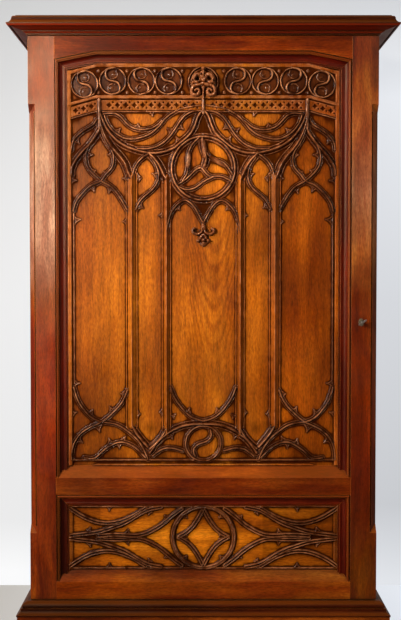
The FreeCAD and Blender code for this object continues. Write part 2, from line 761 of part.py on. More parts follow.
# ------------------------------------------------------------------ carving
# The carvings are drawn flat, as (distance right of the axis, height), then raised off the panel.
def mitre_points(path, distance):
    """A flat path moved sideways, to its left, with mitred corners."""
    spots = [Vector(float(a), float(b), 0) for a, b in path]
    runs = [(end - start).normalize() for start, end in zip(spots, spots[1:])]
    sides = [Vector(-run.y, run.x, 0) for run in runs]
    shifts = [sides[0]] + [corner_direction(*pair) for pair in zip(sides, sides[1:])] + [sides[-1]]
    return [spot + shift * float(distance) for spot, shift in zip(spots, shifts)]


def flat_points(spots):
    return [(spot.x, spot.y) for spot in spots]


def flat_face(wire):
    """A flat face that looks up."""
    face = Part.Face(wire)
    if face.normalAt(0, 0).z < 0:
        face = Part.Face(Part.Wire([edge.reversed() for edge in reversed(wire.OrderedEdges)]))
    return face


def strap(path, width):
    """A band of even width with mitred corners."""
    edge = mitre_points(path, width / 2)
    other = mitre_points(path, -width / 2)
    return flat_face(Part.makePolygon(edge + other[::-1] + edge[:1]))


def ribbon(points, width):
    """A band of even width along a smooth line through the points."""
    middle = Part.BSplineCurve()
    middle.interpolate([Vector(a, b, 0) for a, b in points])
    steps = 2 * len(points) - 1
    edges = ([], [])
    for step in range(steps):
        at = middle.FirstParameter + (middle.LastParameter - middle.FirstParameter) * step / (steps - 1)
        along = middle.tangent(at)[0]
        across = Vector(-along.y, along.x, 0) * (float(width) / 2)
        edges[0].append(middle.value(at) + across)
        edges[1].append(middle.value(at) - across)
    curves = []
    for edge in edges:
        curve = Part.BSplineCurve()
        curve.interpolate(edge)
        curves.append(curve.toShape())
    ends = [Part.LineSegment(edges[0][end], edges[1][end]).toShape() for end in (0, -1)]
    return flat_face(Part.Wire([curves[0], ends[1], curves[1], ends[0]]))


def disc(radius, a, b):
    return flat_face(Part.Wire(Part.Circle(Vector(a, b, 0), UP, float(radius)).toShape()))


def ring(radius, width, a, b):
    return disc(radius + width / 2, a, b).cut(disc(radius - width / 2, a, b)).Faces[0]


def cross(a, b, reach, rise, arm):
    """An upright cross with its middle at a, b."""
    quarter = [(reach, arm), (arm, arm), (arm, rise)]
    corners = [(a + x, b + y) for x, y in quarter] + [(a - x, b + y) for x, y in quarter[::-1]]
    corners += [(a - x, b - y) for x, y in quarter] + [(a + x, b - y) for x, y in quarter[::-1]]
    return flat_face(Part.makePolygon([Vector(x, y, 0) for x, y in corners + corners[:1]]))


def mirrored(points):
    return [points, [(-a, b) for a, b in points]]


def turned(points, degrees, a, b):
    """Points round (0, 0), turned and then moved to a, b."""
    turn = math.radians(degrees)
    sine, cosine = math.sin(turn), math.cos(turn)
    return [(a + x * cosine - y * sine, b + x * sine + y * cosine) for x, y in points]


def united(faces):
    """Overlapping flat faces made one, stretch by stretch."""
    stretches = []
    for face in faces[0].multiFuse(faces[1:]).Faces:
        together = [face]
        rims = {edge.hashCode() for edge in face.Edges}
        apart = []
        for stretch, edges in stretches:
            if edges & rims:
                together = together + stretch
                rims = rims | edges
            else:
                apart.append((stretch, edges))
        stretches = apart + [(together, rims)]
    return Part.makeCompound([Part.makeShell(stretch).removeSplitter() for stretch, _ in stretches])


def raised(label, low, high, studs, region):
    """A carving of two steps from flat faces inside region: high ones and studs reach full height."""
    step = float(dim.carving_step)
    full = float(dim.carving_height)
    field = flat_face(Part.makePolygon(region + region[:1]))
    foot = united(low + high).common(field)
    crest = united(high).common(field)
    crest = Part.makeCompound(crest.Faces + studs)
    crest.translate(Vector(0, 0, step))
    solid = foot.extrude(Vector(0, 0, step)).multiFuse(crest.extrude(Vector(0, 0, full - step)).Solids)
    solid.rotate(Vector(0, 0, 0), RIGHT, 90)
    carving = shaped(solid)
    place(carving, 0, panel_front, 0)
    node(carving, label)


def upper_path():
    return [(opening, upper_sill), (opening, upper_head - dim.cant_drop), (kink, upper_head),
            (-kink, upper_head), (-opening, upper_head - dim.cant_drop), (-opening, upper_sill)]


# The ribs are drawn for a carved field this wide from its axis to its flat border.
DRAWN_HALF = 417
# The head's ribs, right half: (distance from the axis, drop below the string course).
HEAD_RIBS = (
    ((328, -6), (327, 40), (326, 90)),
    ((326, 45), (308, 87), (254, 144), (206, 163), (150, 170), (90, 154)),
    ((0, 40), (24, 77), (41, 110), (72, 139), (90, 154)),
    ((72, 33), (97, 45), (123, 66), (166, 110), (235, 127), (291, 94), (311, 50)),
    ((5, 38), (58, 54), (87, 93), (121, 134), (174, 157)),
    ((315, 49), (260, 57), (230, 87), (195, 97), (159, 91), (131, 70)),
    ((330, 50), (344, 78), (386, 107), (413, 140), (417, 170)),
    ((327, 83), (341, 119), (383, 169), (414, 216), (417, 250)),
    ((326, 83), (305, 126), (267, 177), (238, 228), (227, 262)),
    ((326, 89), (355, 139), (370, 193), (344, 240), (323, 258), (290, 278), (263, 311), (241, 349),
     (229, 400)),
    ((326, 89), (302, 145), (283, 196), (309, 240), (323, 258), (347, 269), (378, 294), (399, 320),
     (411, 353), (417, 400)),
    ((227, 252), (218, 221), (201, 194), (171, 168)),
    ((117, 252), (128, 232), (143, 203), (171, 168)),
    ((165, 185), (146, 216), (141, 243), (170, 294), (197, 318), (214, 349), (224, 390)),
    ((115, 390), (100, 350), (57, 317)),
    ((57, 317), (22, 350), (0, 391)),
)
# The foot's ribs, right half: (distance from the axis, rise above the sill).
FOOT_RIBS = (
    ((418, 300), (412, 250), (398, 208), (373, 171), (342, 146), (278, 132), (239, 109), (211, 84),
     (186, 44), (178, 18)),
    ((228, 300), (241, 241), (261, 199), (289, 168), (323, 140), (365, 120), (399, 92), (415, 61),
     (418, 18)),
    ((227, 150), (214, 106), (176, 58)),
    ((117, 150), (124, 106), (169, 55)),
    ((379, 25), (345, 25), (323, 44), (295, 64), (267, 75), (239, 70), (211, 53), (184, 25)),
    ((116, 300), (104, 250), (93, 222), (71, 188), (34, 154), (0, 140)),
    ((170, 42), (145, 76), (118, 100), (84, 120), (40, 131), (0, 133)),
    ((161, 31), (129, 53), (102, 56), (60, 47)),
)
# The low panel's ribs, right half above its middle line, for a field this wide and this high.
LOW_DRAWN_HALF = 429
LOW_DRAWN_HEIGHT = 205
LOW_RIBS = (
    ((431, 102), (388, 69), (344, 51), (302, 46), (261, 54), (225, 69), (184, 100)),
    ((431, 4), (373, 12), (335, 18), (296, 30), (255, 45), (211, 71), (181, 87), (136, 99)),
    ((337, 2), (255, 2), (196, 7), (166, 21), (128, 45), (98, 71), (66, 97)),
    ((77, 0), (45, 22), (22, 46), (0, 94)),
)
ROUNDEL_ARM = ((-6, 100), (-8, 63), (7, 33), (5, 8))
ROUNDEL_LEAF = ((-83, -55), (-52, -67), (-24, -60), (1, -42), (31, -27))
FOOT_WHEEL_S = ((23, 50), (25, 23), (9, 6), (-18, -4), (-31, -22), (-24, -50))
FRIEZE_S = ((27, 29), (2, 29), (-17, 15), (0, 0), (17, -15), (-2, -29), (-27, -29))


def build_upper_carving():
    path = upper_path()
    outer = flat_points(mitre_points(path, dim.moulding_width))
    border = strap(flat_points(mitre_points(path, dim.moulding_width + dim.border / 2)), dim.border)
    edge = float(opening - dim.moulding_width)
    string = float(upper_head - dim.string_drop - dim.string_height)
    sill = float(upper_sill + dim.sill_rise)
    bend = float(kink)
    cant = float(dim.string_cant)
    line = [(edge, string - cant), (bend, string), (-bend, string), (-edge, string - cant)]
    below = [(-edge, sill), (edge, sill)] + line
    above = line[::-1] + outer[1:-1]

    ridge, rib, tall = dim.ridge_width, dim.rib_width, dim.string_height
    string_strap = strap(flat_points(mitre_points(line, -tall / 2)), tall)
    inner = flat_points(mitre_points(path, dim.moulding_width + dim.border))
    wheels = [(0, string + tall + dim.frieze_rise, dim.frieze_wheel_radius)]
    low, high = [], [border, string_strap]
    for index in range(4):
        centre = float(dim.frieze_first + index * dim.frieze_pitch)
        sunk = dim.frieze_side_drop if index == 3 else 0
        wheels += [(side * centre, string + tall + dim.frieze_rise - sunk, dim.frieze_wheel_radius)
                   for side in (-1, 1)]
    for a, b, radius in wheels:
        b = float(b)
        low.append(ring(radius, rib - 4, a, b))
        high.append(ring(radius, ridge, a, b))
        if a:
            side = -1 if a > 0 else 1
            high.append(ribbon([(a + side * x, b + y) for x, y in FRIEZE_S], ridge))
    head_line = strap([inner[2], inner[3]], ridge)
    raised("frieze_tracery", low, high + [head_line], [], [Vector(a, b, 0) for a, b in above])

    low, high, studs = [], [border], []
    band_line = flat_points(mitre_points(line, dim.notched_band / 2 + dim.string_gap))
    low.append(strap(band_line, dim.notched_band))
    bead_line = flat_points(mitre_points(line, dim.notched_band + dim.string_gap + ridge / 2))
    high.append(strap(bead_line, ridge))
    low.append(strap(bead_line, rib))
    notches = round(float(kink / dim.notch_pitch))
    middle = string - float(dim.string_gap + dim.notched_band / 2)
    for index in range(-notches + 1, notches):
        spot = index * float(dim.notch_pitch)
        studs.append(cross(spot, middle, float(dim.notch_reach), float(dim.notch_rise), float(ridge) / 2))
    stretch = (edge - float(dim.border)) / DRAWN_HALF
    ribs = [[(a * stretch, string - b) for a, b in rib_line] for rib_line in HEAD_RIBS]
    ribs += [[(a * stretch, sill + b) for a, b in rib_line] for rib_line in FOOT_RIBS]
    for rib_line in ribs:
        for points in mirrored(rib_line):
            low.append(ribbon(points, rib))
            high.append(ribbon(points, ridge))
    mullions = ((dim.mullion_outer, dim.mullion_outer_foot), (dim.mullion_inner, dim.mullion_inner_foot))
    for a, foot in mullions:
        for side in (-stretch, stretch):
            shaft = [(side * a, sill + foot), (side * a, string - dim.springing)]
            low.append(strap(shaft, dim.mullion_width))
            high.append(strap(shaft, ridge))
    centre = string - float(dim.roundel_drop)
    low.append(ring(dim.roundel_radius, rib, 0, centre))
    high.append(ring(dim.roundel_radius, ridge, 0, centre))
    for degrees in (0, 120, 240):
        for points in (ROUNDEL_ARM, ROUNDEL_LEAF):
            curve = turned(points, degrees, 0, centre)
            low.append(ribbon(curve, rib))
            high.append(ribbon(curve, ridge))
    centre = sill + float(dim.foot_wheel_rise)
    low.append(ring(dim.foot_wheel_radius, rib, 0, centre))
    high.append(ring(dim.foot_wheel_radius, ridge, 0, centre))
    high.append(ribbon(turned(FOOT_WHEEL_S, 0, 0, centre), ridge))
    bead = sill + float(dim.foot_bead_rise)
    high.append(strap([(-edge, bead), (edge, bead)], ridge))
    low.append(strap([(-edge, (sill + bead) / 2), (edge, (sill + bead) / 2)], dim.foot_bead_rise))
    raised("upper_tracery", low, high, studs, [Vector(a, b, 0) for a, b in below])


def build_lower_carving():
    edge = float(opening - dim.moulding_width)
    sill = float(lower_sill + dim.sill_rise)
    head = float(lower_head - dim.moulding_width)
    middle = (sill + head) / 2
    region = [(-edge, sill), (edge, sill), (edge, head), (-edge, head)]
    border = float(dim.lower_border)
    inner = strap([(edge, sill), (edge, head), (-edge, head), (-edge, sill)], 2 * border)
    low, high = [], [inner, strap([(-edge, sill), (edge, sill)], 2 * border)]
    wide, tall = edge / LOW_DRAWN_HALF, (head - sill) / LOW_DRAWN_HEIGHT
    for rib_line in LOW_RIBS:
        for points in mirrored(rib_line):
            for flip in (-1, 1):
                curve = [(a * wide, middle + flip * b * tall) for a, b in points]
                low.append(ribbon(curve, dim.rib_width))
                high.append(ribbon(curve, dim.ridge_width))
    low.append(ring(dim.low_wheel_radius, dim.rib_width, 0, middle))
    high.append(ring(dim.low_wheel_radius, dim.ridge_width, 0, middle))
    reach = float(dim.low_wheel_radius)
    for side in (-1, 1):
        high.append(strap([(side * 75, middle), (side * reach, middle)], dim.ridge_width))
        high.append(strap([(0, middle + side * 92), (0, middle + side * reach)], dim.ridge_width))
    raised("lower_tracery", low, high, [], [Vector(a, b, 0) for a, b in region])


def lobe(x, z, wide, tall, y, deep):
    """A rounded leaf or knob: an ellipsoid with its middle at x, y, z."""
    leaf = doc.addObject("Part::Ellipsoid", "lobe")
    for edge, size in (("Radius1", tall), ("Radius2", wide), ("Radius3", deep)):
        leaf.setExpression(edge, as_size(size).text)
    place(leaf, x, y, z)
    return leaf


# Leaves of the finials: distance from the axis and height in shares of the half width and of the
# whole height, then half width and half height of the leaf in the same shares.
TOP_FINIAL = (
    (0, 0.90, 0.24, 0.10), (0, 0.52, 0.2, 0.34), (0, 0.12, 0.16, 0.12),
    (0.42, 0.62, 0.36, 0.14), (-0.42, 0.62, 0.36, 0.14),
    (0.56, 0.26, 0.42, 0.17), (-0.56, 0.26, 0.42, 0.17),
)
PENDANT = (
    (0, 0.74, 0.22, 0.26), (0, 0.34, 0.26, 0.3), (0, 0.12, 0.2, 0.12),
    (0.56, 0.66, 0.42, 0.2), (-0.56, 0.66, 0.42, 0.2),
    (0.38, 0.28, 0.32, 0.16), (-0.38, 0.28, 0.32, 0.16),
)


def leaves(table, half_width, foot, rise, seat):
    deep = dim.carving_height - 1
    pieces = [lobe(half_width * a, foot + rise * b, half_width * wide, rise * tall, seat, deep)
              for a, b, wide, tall in table]
    behind = box((-2 * half_width, 2 * half_width), (seat, seat + 2 * deep),
                 (foot - rise, foot + 2 * rise))
    return cut(fused(pieces), [behind])


def build_finials():
    string = upper_head - dim.string_drop - dim.string_height
    crown = leaves(TOP_FINIAL, dim.finial_half_width, string, dim.finial_rise, carving_front)
    node(crown, "top_finial")
    foot = string - dim.pendant_foot
    pendant = leaves(PENDANT, dim.pendant_half_width, foot, dim.pendant_rise, panel_front)
    node(pendant, "pendant_finial")


# ------------------------------------------------------------------ pivots
def build_pivots():
    plate_y = (pivot_y - dim.pivot_inset, pivot_y + dim.pivot_inset)
    pin_length = dim.door_end_gap + dim.pin_reach
    bushes = []
    for label, face, sign, direction in (
            ("pivot_plate_bottom", base_top, -1, DOWN), ("pivot_plate_top", body_top, 1, UP)):
        thick = dim.plate_thickness
        plate_z = (face, face + thick) if sign > 0 else (face - thick, face)
        plate = box((plate_low, plate_high), plate_y, plate_z)
        pin_foot = face - pin_length if sign > 0 else face
        pin = cylinder(dim.pin_radius, pin_length, pivot_x, pivot_y, pin_foot)
        holes = [shaped(plug(x, y, face, direction)) for x, y in plate_screws]
        node(cut(fused([plate, pin]), holes), label)

        flange = dim.door_end_gap - dim.flange_play
        foot = door_head - dim.bush_length if sign > 0 else door_foot - flange
        rim = door_head if sign > 0 else door_foot - flange
        sleeve = cylinder(dim.bush_radius, dim.bush_length + flange, pivot_x, pivot_y, foot)
        collar = cylinder(dim.flange_radius, flange, pivot_x, pivot_y, rim)
        bore = cylinder(dim.pin_radius + dim.pin_play, dim.bush_length + flange, pivot_x, pivot_y, foot)
        bushes.append(cut(fused([sleeve, collar]), [bore]))
    node(group(bushes), "pivot_bushes")
    screws = [screw(x, y, base_top, DOWN, 20) for x, y in plate_screws]
    screws += [screw(x, y, body_top, UP, 70) for x, y in plate_screws]
    screws += [screw(post_inside, keeper_screw_y, z, RIGHT, 35) for z in keeper_screws]
    node(shaped(Part.makeCompound(screws)), "carcass_screws")


# ------------------------------------------------------------------ lock
case_x = (key_x - dim.case_left, key_x + dim.case_right)
case_z = (key_z - dim.case_drop, bolt_high + dim.bolt_play + dim.case_wall)
case_back = door_back + dim.case_depth
screw_left = opening + dim.tongue + dim.tongue_room + dim.screw_head
screw_low = case_z[0] + dim.lock_screw_inset
case_screws = [(screw_left, screw_low), (case_x[1] - dim.lock_screw_inset, screw_low), (screw_left, key_z)]


def build_lock():
    wall = dim.case_wall
    play = dim.bolt_play
    shell = box(case_x, (door_back, case_back), case_z)
    hollow = box((case_x[0] + wall, case_x[1] - wall), (door_back + wall, case_back - wall),
                 (case_z[0] + wall, case_z[1] - wall))
    mouth = box((case_x[1] - wall, case_x[1]), (bolt_front - play, bolt_back + play),
                (bolt_low - play, bolt_high + play))
    pin = cylinder(dim.key_bore, dim.case_depth + wall, key_x, door_back - wall, key_z, "Y")
    guide_x = (case_x[0] + wall, case_x[0] + wall + dim.guide_width)
    guide_low = bolt_low - play - dim.guide_height
    guide = box(guide_x, (bolt_front, bolt_back), (guide_low, bolt_low - play))
    bridge = box(guide_x, (bolt_back, case_back - wall), (guide_low, bolt_low))
    shell = cut(shell, [hollow, mouth] + keyhole_tool(door_back, wall))
    holes = [shaped(plug(x, door_back + wall, z, FORWARD)) for x, z in case_screws]
    node(cut(fused([shell, pin, guide, bridge]), holes), "lock_case")
    node(shaped(Part.makeCompound([screw(x, door_back + wall, z, FORWARD, 50) for x, z in case_screws])),
         "lock_screws")

    tip = case_x[1] + dim.bolt_proud
    tail = case_x[0] + wall + dim.tongue_room
    bolt = box((tail, tip), (bolt_front, bolt_back), (bolt_low, bolt_high))
    notch_side = dim.bolt_notch_width / 2
    notch = box((key_x - notch_side, key_x + notch_side), (bolt_front, bolt_back),
                (bolt_low, bolt_low + dim.bolt_notch_height))
    node(cut(bolt, [notch]), "lock_bolt")

    plate = box((post_inside, post_inside + dim.keeper_thickness), keeper_y,
                (keeper_middle - keeper_reach, keeper_middle + keeper_reach))
    hole = box((post_inside, post_inside + dim.keeper_thickness), (bolt_front - play, bolt_back + play),
               (bolt_low - play, bolt_high + play))
    holes = [shaped(plug(post_inside, keeper_screw_y, z, RIGHT)) for z in keeper_screws]
    node(cut(plate, [hole] + holes), "lock_keeper")
    build_key()
    build_escutcheon()


def ellipse_plate(major, minor, thickness, x, y, z):
    """An upright oval plate, its longer axis along Z, its back face at y."""
    rim = doc.addObject("Part::Ellipse", "rim")
    rim.setExpression("MajorRadius", (major / 2).text)
    rim.setExpression("MinorRadius", (minor / 2).text)
    rim.Placement.Rotation = FreeCAD.Rotation(UP, Vector(-1, 0, 0), FORWARD, "ZXY")
    place(rim, x, y, z)
    plate = doc.addObject("Part::Extrusion", "plate")
    plate.Base = rim
    plate.DirMode = "Custom"
    plate.Dir = FORWARD
    plate.setExpression("LengthFwd", as_size(thickness).text)
    plate.Solid = True
    return plate


def build_escutcheon():
    plate = ellipse_plate(dim.escutcheon_height, dim.escutcheon_width, dim.escutcheon_thickness,
                          key_x, front, key_z - 1)
    node(cut(plate, keyhole_tool(front - dim.escutcheon_thickness, dim.escutcheon_thickness)), "escutcheon")


def build_key():
    """The key lies along Y; its bow and bit share one plane, tilted from the horizontal."""
    shank_front = front - dim.key_reach
    shank_back = case_back - dim.case_wall - dim.bolt_play
    shank = cylinder(dim.key_shank, shank_back - shank_front, 0, shank_front, 0, "Y")
    collar = cylinder(dim.key_shank + dim.key_collar, dim.key_collar_length, 0, shank_front, 0, "Y")
    bore_front = door_back - dim.case_wall - dim.tongue_room
    bore = cylinder(dim.key_bore + dim.pin_play, shank_back - bore_front, 0, bore_front, 0, "Y")
    bit_front = bolt_front + dim.tongue_room
    thick = dim.key_bit_thickness / 2
    bit = box((-dim.key_bit, -dim.key_shank + 0.5), (bit_front, bit_front + dim.key_bit_width),
              (-thick, thick))
    middle = shank_front - dim.bow_length / 2 + 1
    bow = bow_ring(middle)
    key = cut(fused([shank, collar, bit, bow]), [bore])
    key.Placement.Rotation = FreeCAD.Rotation(Vector(0, 1, 0), -float(dim.key_tilt))
    place(key, key_x, 0, key_z)
    node(key, "key")


def bow_ring(middle):
    """An oval ring in the plane z = 0, across the end of the shank."""
    thick = dim.bow_thickness
    ovals = []
    for shrink, grow in ((0, 0), (dim.bow_rim, 1)):
        oval = doc.addObject("Part::Ellipse", "oval")
        oval.setExpression("MajorRadius", (dim.bow_width / 2 - shrink).text)
        oval.setExpression("MinorRadius", (dim.bow_length / 2 - shrink).text)
        place(oval, 0, middle, -thick / 2 - grow)
        solid = doc.addObject("Part::Extrusion", "bow")
        solid.Base = oval
        solid.DirMode = "Custom"
        solid.Dir = UP
        solid.setExpression("LengthFwd", (thick + 2 * grow).text)
        solid.Solid = True
        ovals.append(solid)
    return cut(ovals[0], [ovals[1]])


# ------------------------------------------------------------------ checks and files
def write_parts():
    doc.recompute()
    for piece in doc.Objects:
        if "Invalid" in piece.State or "Error" in piece.State:
            raise RuntimeError("%s did not rebuild: %s" % (piece.Label, piece.State))
    os.makedirs("parts", exist_ok=True)
    for piece in nodes:
        if piece.Shape.isNull() or not piece.Shape.isValid():
            raise RuntimeError("%s has no valid shape" % piece.Label)
        piece.Shape.exportStep("parts/%s.step" % piece.Label)
    print("%d nodes" % len(nodes))


build_base()
build_cornice()
build_sides()
build_boards()
build_door_frame()
build_frame_mouldings()
build_upper_carving()
build_lower_carving()
build_finials()
build_pivots()
build_lock()
write_parts()
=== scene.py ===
import math
from fnmatch import fnmatchcase
import bpy
import numpy as np
from mathutils import Euler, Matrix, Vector


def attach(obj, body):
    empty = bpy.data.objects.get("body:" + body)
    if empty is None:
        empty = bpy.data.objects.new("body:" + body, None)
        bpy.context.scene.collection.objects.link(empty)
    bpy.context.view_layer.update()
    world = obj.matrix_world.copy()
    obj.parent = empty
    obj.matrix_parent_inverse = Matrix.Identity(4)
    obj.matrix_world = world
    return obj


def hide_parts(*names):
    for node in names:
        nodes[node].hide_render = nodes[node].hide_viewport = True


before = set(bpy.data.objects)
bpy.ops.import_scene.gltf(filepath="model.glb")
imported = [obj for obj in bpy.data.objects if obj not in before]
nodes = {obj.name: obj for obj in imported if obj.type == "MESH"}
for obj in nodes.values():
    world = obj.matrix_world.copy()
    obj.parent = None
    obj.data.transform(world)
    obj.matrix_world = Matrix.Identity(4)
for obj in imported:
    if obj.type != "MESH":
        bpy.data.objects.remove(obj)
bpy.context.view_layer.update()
scene = bpy.context.scene
MM = 0.001
WHITE = (1.0, 1.0, 1.0)


def linked(name, data):
    """A new object in the scene."""
    made = bpy.data.objects.new(name, data)
    scene.collection.objects.link(made)
    return made


# ---- materials
class Graph:
    """The nodes of a material or of the world, with short ways to add and link them."""

    def __init__(self, owner):
        owner.use_nodes = True
        self.tree = owner.node_tree

    def add(self, kind, **settings):
        """A new node; a setting that starts with in_ is the value of a socket."""
        made = self.tree.nodes.new(kind)
        for key, value in settings.items():
            if key.startswith("in_"):
                made.inputs[key[3:].replace("_", " ")].default_value = value
            else:
                setattr(made, key, value)
        return made

    def link(self, source, made, socket):
        self.tree.links.new(source, made.inputs[socket])

    def feed(self, source, made, socket):
        """Links a source to a socket, or sets it there where it is a number or a colour."""
        if isinstance(source, (int, float)):
            made.inputs[socket].default_value = source
        elif isinstance(source, tuple):
            made.inputs[socket].default_value = (*source, 1)
        else:
            self.link(source, made, socket)

    def split(self, source):
        """The X, Y and Z of a vector."""
        made = self.add("ShaderNodeSeparateXYZ")
        self.link(source, made, 0)
        return made.outputs

    def coordinates(self):
        return self.add("ShaderNodeTexCoord").outputs["Object"]

    def stretch(self, scale=(1, 1, 1), wander=None):
        """Object coordinates, scaled per axis; a wander, of some scale and amount, is added first."""
        coordinates = self.coordinates()
        if wander:
            size, amount = wander
            middle = self.add("ShaderNodeVectorMath", operation="SUBTRACT")
            self.link(self.noise(coordinates, size, 2.0, 0.5, "Color"), middle, 0)
            middle.inputs[1].default_value = (0.5, 0.5, 0.5)
            grown = self.add("ShaderNodeVectorMath", operation="SCALE", in_Scale=amount)
            self.link(middle.outputs[0], grown, 0)
            total = self.add("ShaderNodeVectorMath", operation="ADD")
            self.link(coordinates, total, 0)
            self.link(grown.outputs[0], total, 1)
            coordinates = total.outputs[0]
        mapping = self.add("ShaderNodeMapping", in_Scale=scale)
        self.link(coordinates, mapping, "Vector")
        return mapping.outputs[0]

    def noise(self, vector, scale, detail, rough, output="Fac"):
        made = self.add("ShaderNodeTexNoise", in_Scale=scale, in_Detail=detail, in_Roughness=rough)
        self.link(vector, made, "Vector")
        return made.outputs[output]

    def ramp(self, source, *stops):
        made = self.add("ShaderNodeValToRGB")
        elements = made.color_ramp.elements
        elements[0].position, elements[-1].position = stops[0][0], stops[-1][0]
        for position, _ in stops[1:-1]:
            elements.new(position)
        for element, (_, colour) in zip(elements, stops):
            element.color = (*colour, 1) if isinstance(colour, tuple) else (colour, colour, colour, 1)
        self.link(source, made, "Fac")
        return made.outputs["Color"]

    def mix(self, factor, first, second, blend="MIX"):
        """Mixes two colours; a mix node keeps these at its sockets 6 and 7."""
        made = self.add("ShaderNodeMix", data_type="RGBA", blend_type=blend)
        for source, socket in ((factor, 0), (first, 6), (second, 7)):
            self.feed(source, made, socket)
        return made.outputs[2]

    def maths(self, operation, *sources, clamp=False):
        made = self.add("ShaderNodeMath", operation=operation, use_clamp=clamp)
        for socket, source in enumerate(sources):
            self.feed(source, made, socket)
        return made.outputs[0]

    def attribute(self, name):
        return self.add("ShaderNodeAttribute", attribute_name=name).outputs["Fac"]

    def rounded(self, radius):
        """The normal of a surface whose edges are rounded to a radius in metres."""
        return self.add("ShaderNodeBevel", samples=6, in_Radius=radius).outputs[0]

    def bump(self, height, strength, distance, normal=None):
        made = self.add("ShaderNodeBump", in_Strength=strength, in_Distance=distance)
        self.link(height, made, "Height")
        if normal:
            self.link(normal, made, "Normal")
        return made.outputs["Normal"]


class Surface(Graph):
    """A new material with its shader."""

    def __init__(self, name):
        self.material = bpy.data.materials.new(name)
        super().__init__(self.material)
        self.tree.nodes.clear()
        self.out = self.add("ShaderNodeOutputMaterial")
        self.shader = self.add("ShaderNodeBsdfPrincipled")
        self.link(self.shader.outputs[0], self.out, "Surface")

    def shade(self, **sockets):
        """Sets or links sockets of the shader, an underscore standing for a space."""
        for socket, source in sockets.items():
            self.feed(source, self.shader, socket.replace("_", " "))


# Each noise in the wood: how close it lies across and along the grain, its wander, then scale, detail
# and roughness.
NOISES = {
    "figure": ((9, 0.9), (2.2, 0.1), 1.6, 4.0, 0.6),
    "streaks": ((60, 2.2), (3.0, 0.03), 1.3, 4.0, 0.65),
    "clouds": ((1, 1), None, 3.2, 3.0, 0.5),
    "patches": ((4.5, 1.5), (1.1, 0.2), 1.5, 2.0, 0.5),
    "pores": ((900, 26), None, 1.0, 2.0, 0.5),
    "flecks": ((280, 70), None, 1.0, 2.0, 0.6),
    "polish": ((1, 1), None, 14, 3.0, 0.55),
}
# How far a noise tones the wood's colour, and from what to what.
TONES = (
    ("streaks", 0.75, (0.3, 0.62), (0.55, 1.0), (0.75, 1.22)),
    ("clouds", 0.8, (0.3, 0.55), (0.7, 1.32)),
    ("patches", 0.8, (0.36, (0.6, 0.5, 0.5)), (0.62, (1.22, 1.26, 1.2))),
    ("pores", 0.62, (0.36, 0.4), (0.48, 1.0)),
    ("flecks", 0.8, (0.34, (0.7, 0.62, 0.6)), (0.64, (1.26, 1.3, 1.3))),
)
WORN_AND_LIT = (0.4, 0.1, 0.009)
PAINTED_RIDGE_HIGHLIGHT = (0.36, 0.135, 0.052)
BOUNCE_LIT_UNDERSIDE = (0.3, 0.022, 0.004)
WAX_TINT = (1.0, 0.74, 0.46)


def arched_figure(g, x, z, steep, spacing):
    """Nested arches of the growth rings where the board was sawn through, round one spot."""
    place = g.split(g.stretch(wander=(7, 0.025)))
    across = g.maths("SUBTRACT", place["X"], x)
    up = g.maths("SUBTRACT", place["Z"], z)
    bowl = g.maths("MULTIPLY", g.maths("MULTIPLY", across, across), steep)
    rings = g.maths("SINE", g.maths("MULTIPLY", g.maths("SUBTRACT", up, bowl), 2 * math.pi / spacing))
    near_x = g.ramp(g.maths("ABSOLUTE", across), (0.06, 1.0), (0.115, 0.0))
    near_z = g.ramp(g.maths("ADD", up, 0.1, clamp=True), (0.02, 0.0), (0.12, 1.0), (0.42, 1.0), (0.62, 0.0))
    tone = g.ramp(g.maths("MULTIPLY_ADD", rings, 0.5, 0.5),
                  (0.1, (0.8, 0.72, 0.66)), (0.6, (1.06, 1.08, 1.1)))
    return g.mix(g.maths("MULTIPLY", near_x, near_z), WHITE, tone)


def aged(g, colour, clouds, place, patina_and_shade, grime_and_shade, wear_and_highlight, open_from, lit_below, crown_highlight_depth):
    """Colour of plain wood: patina and painted shade in its corners, wear and painted light on its edges and
    ledges, a painted highlight on a proud crown, and painted bounce light on its undersides.
    """
    # Ambient occlusion darkens corners and hollows towards the patina colour: patina, and painted shade.
    open_air = g.add("ShaderNodeAmbientOcclusion", samples=6, in_Distance=0.022).outputs["AO"]
    grit_and_shade = g.maths("MULTIPLY", g.ramp(open_air, (0.42, 1.0), (0.94, 0.0)),
                   g.ramp(clouds, (0.2, 0.75), (0.8, 1.0)), clamp=True)
    colour = g.mix(g.maths("MULTIPLY", grit_and_shade, grime_and_shade), colour, patina_and_shade)
    normal = g.add("ShaderNodeNewGeometry").outputs["True Normal"]
    upright = g.split(normal)["Z"]
    # Up-facing ledges are painted lighter: wear, and painted light from above.
    ledge = g.ramp(upright, (0.25, 0.0), (0.75, 0.42 * wear_and_highlight))
    colour = g.mix(g.maths("MULTIPLY", ledge, g.maths("SUBTRACT", 1.0, grit_and_shade)), colour, WORN_AND_LIT)
    # Rounded edges in the open are painted lighter: wear, and a painted edge highlight.
    turned = g.add("ShaderNodeVectorMath", operation="DOT_PRODUCT")
    g.link(g.rounded(0.002), turned, 0)
    g.link(normal, turned, 1)
    edge_lightening = g.maths("MULTIPLY", g.ramp(turned.outputs["Value"], (0.8, 1.0), (0.985, 0.0)),
                     g.ramp(open_air, (open_from, 0.0), (open_from + 0.2, 1.0)))
    colour = g.mix(g.maths("MULTIPLY", edge_lightening, wear_and_highlight), colour, WORN_AND_LIT)
    # Parts standing proud of the given depth get a painted highlight.
    if crown_highlight_depth:
        proud = g.maths("MULTIPLY", g.maths("ADD", place["Y"], crown_highlight_depth), -500.0, clamp=True)
        colour = g.mix(g.maths("MULTIPLY", proud, 0.14), colour, WORN_AND_LIT)
    # Down-facing faces get painted bounce light from below.
    if lit_below:
        downward = g.ramp(g.maths("MULTIPLY", upright, -1.0), (0.15, 0.0), (0.7, lit_below))
        colour = g.mix(downward, colour, BOUNCE_LIT_UNDERSIDE)
    return colour


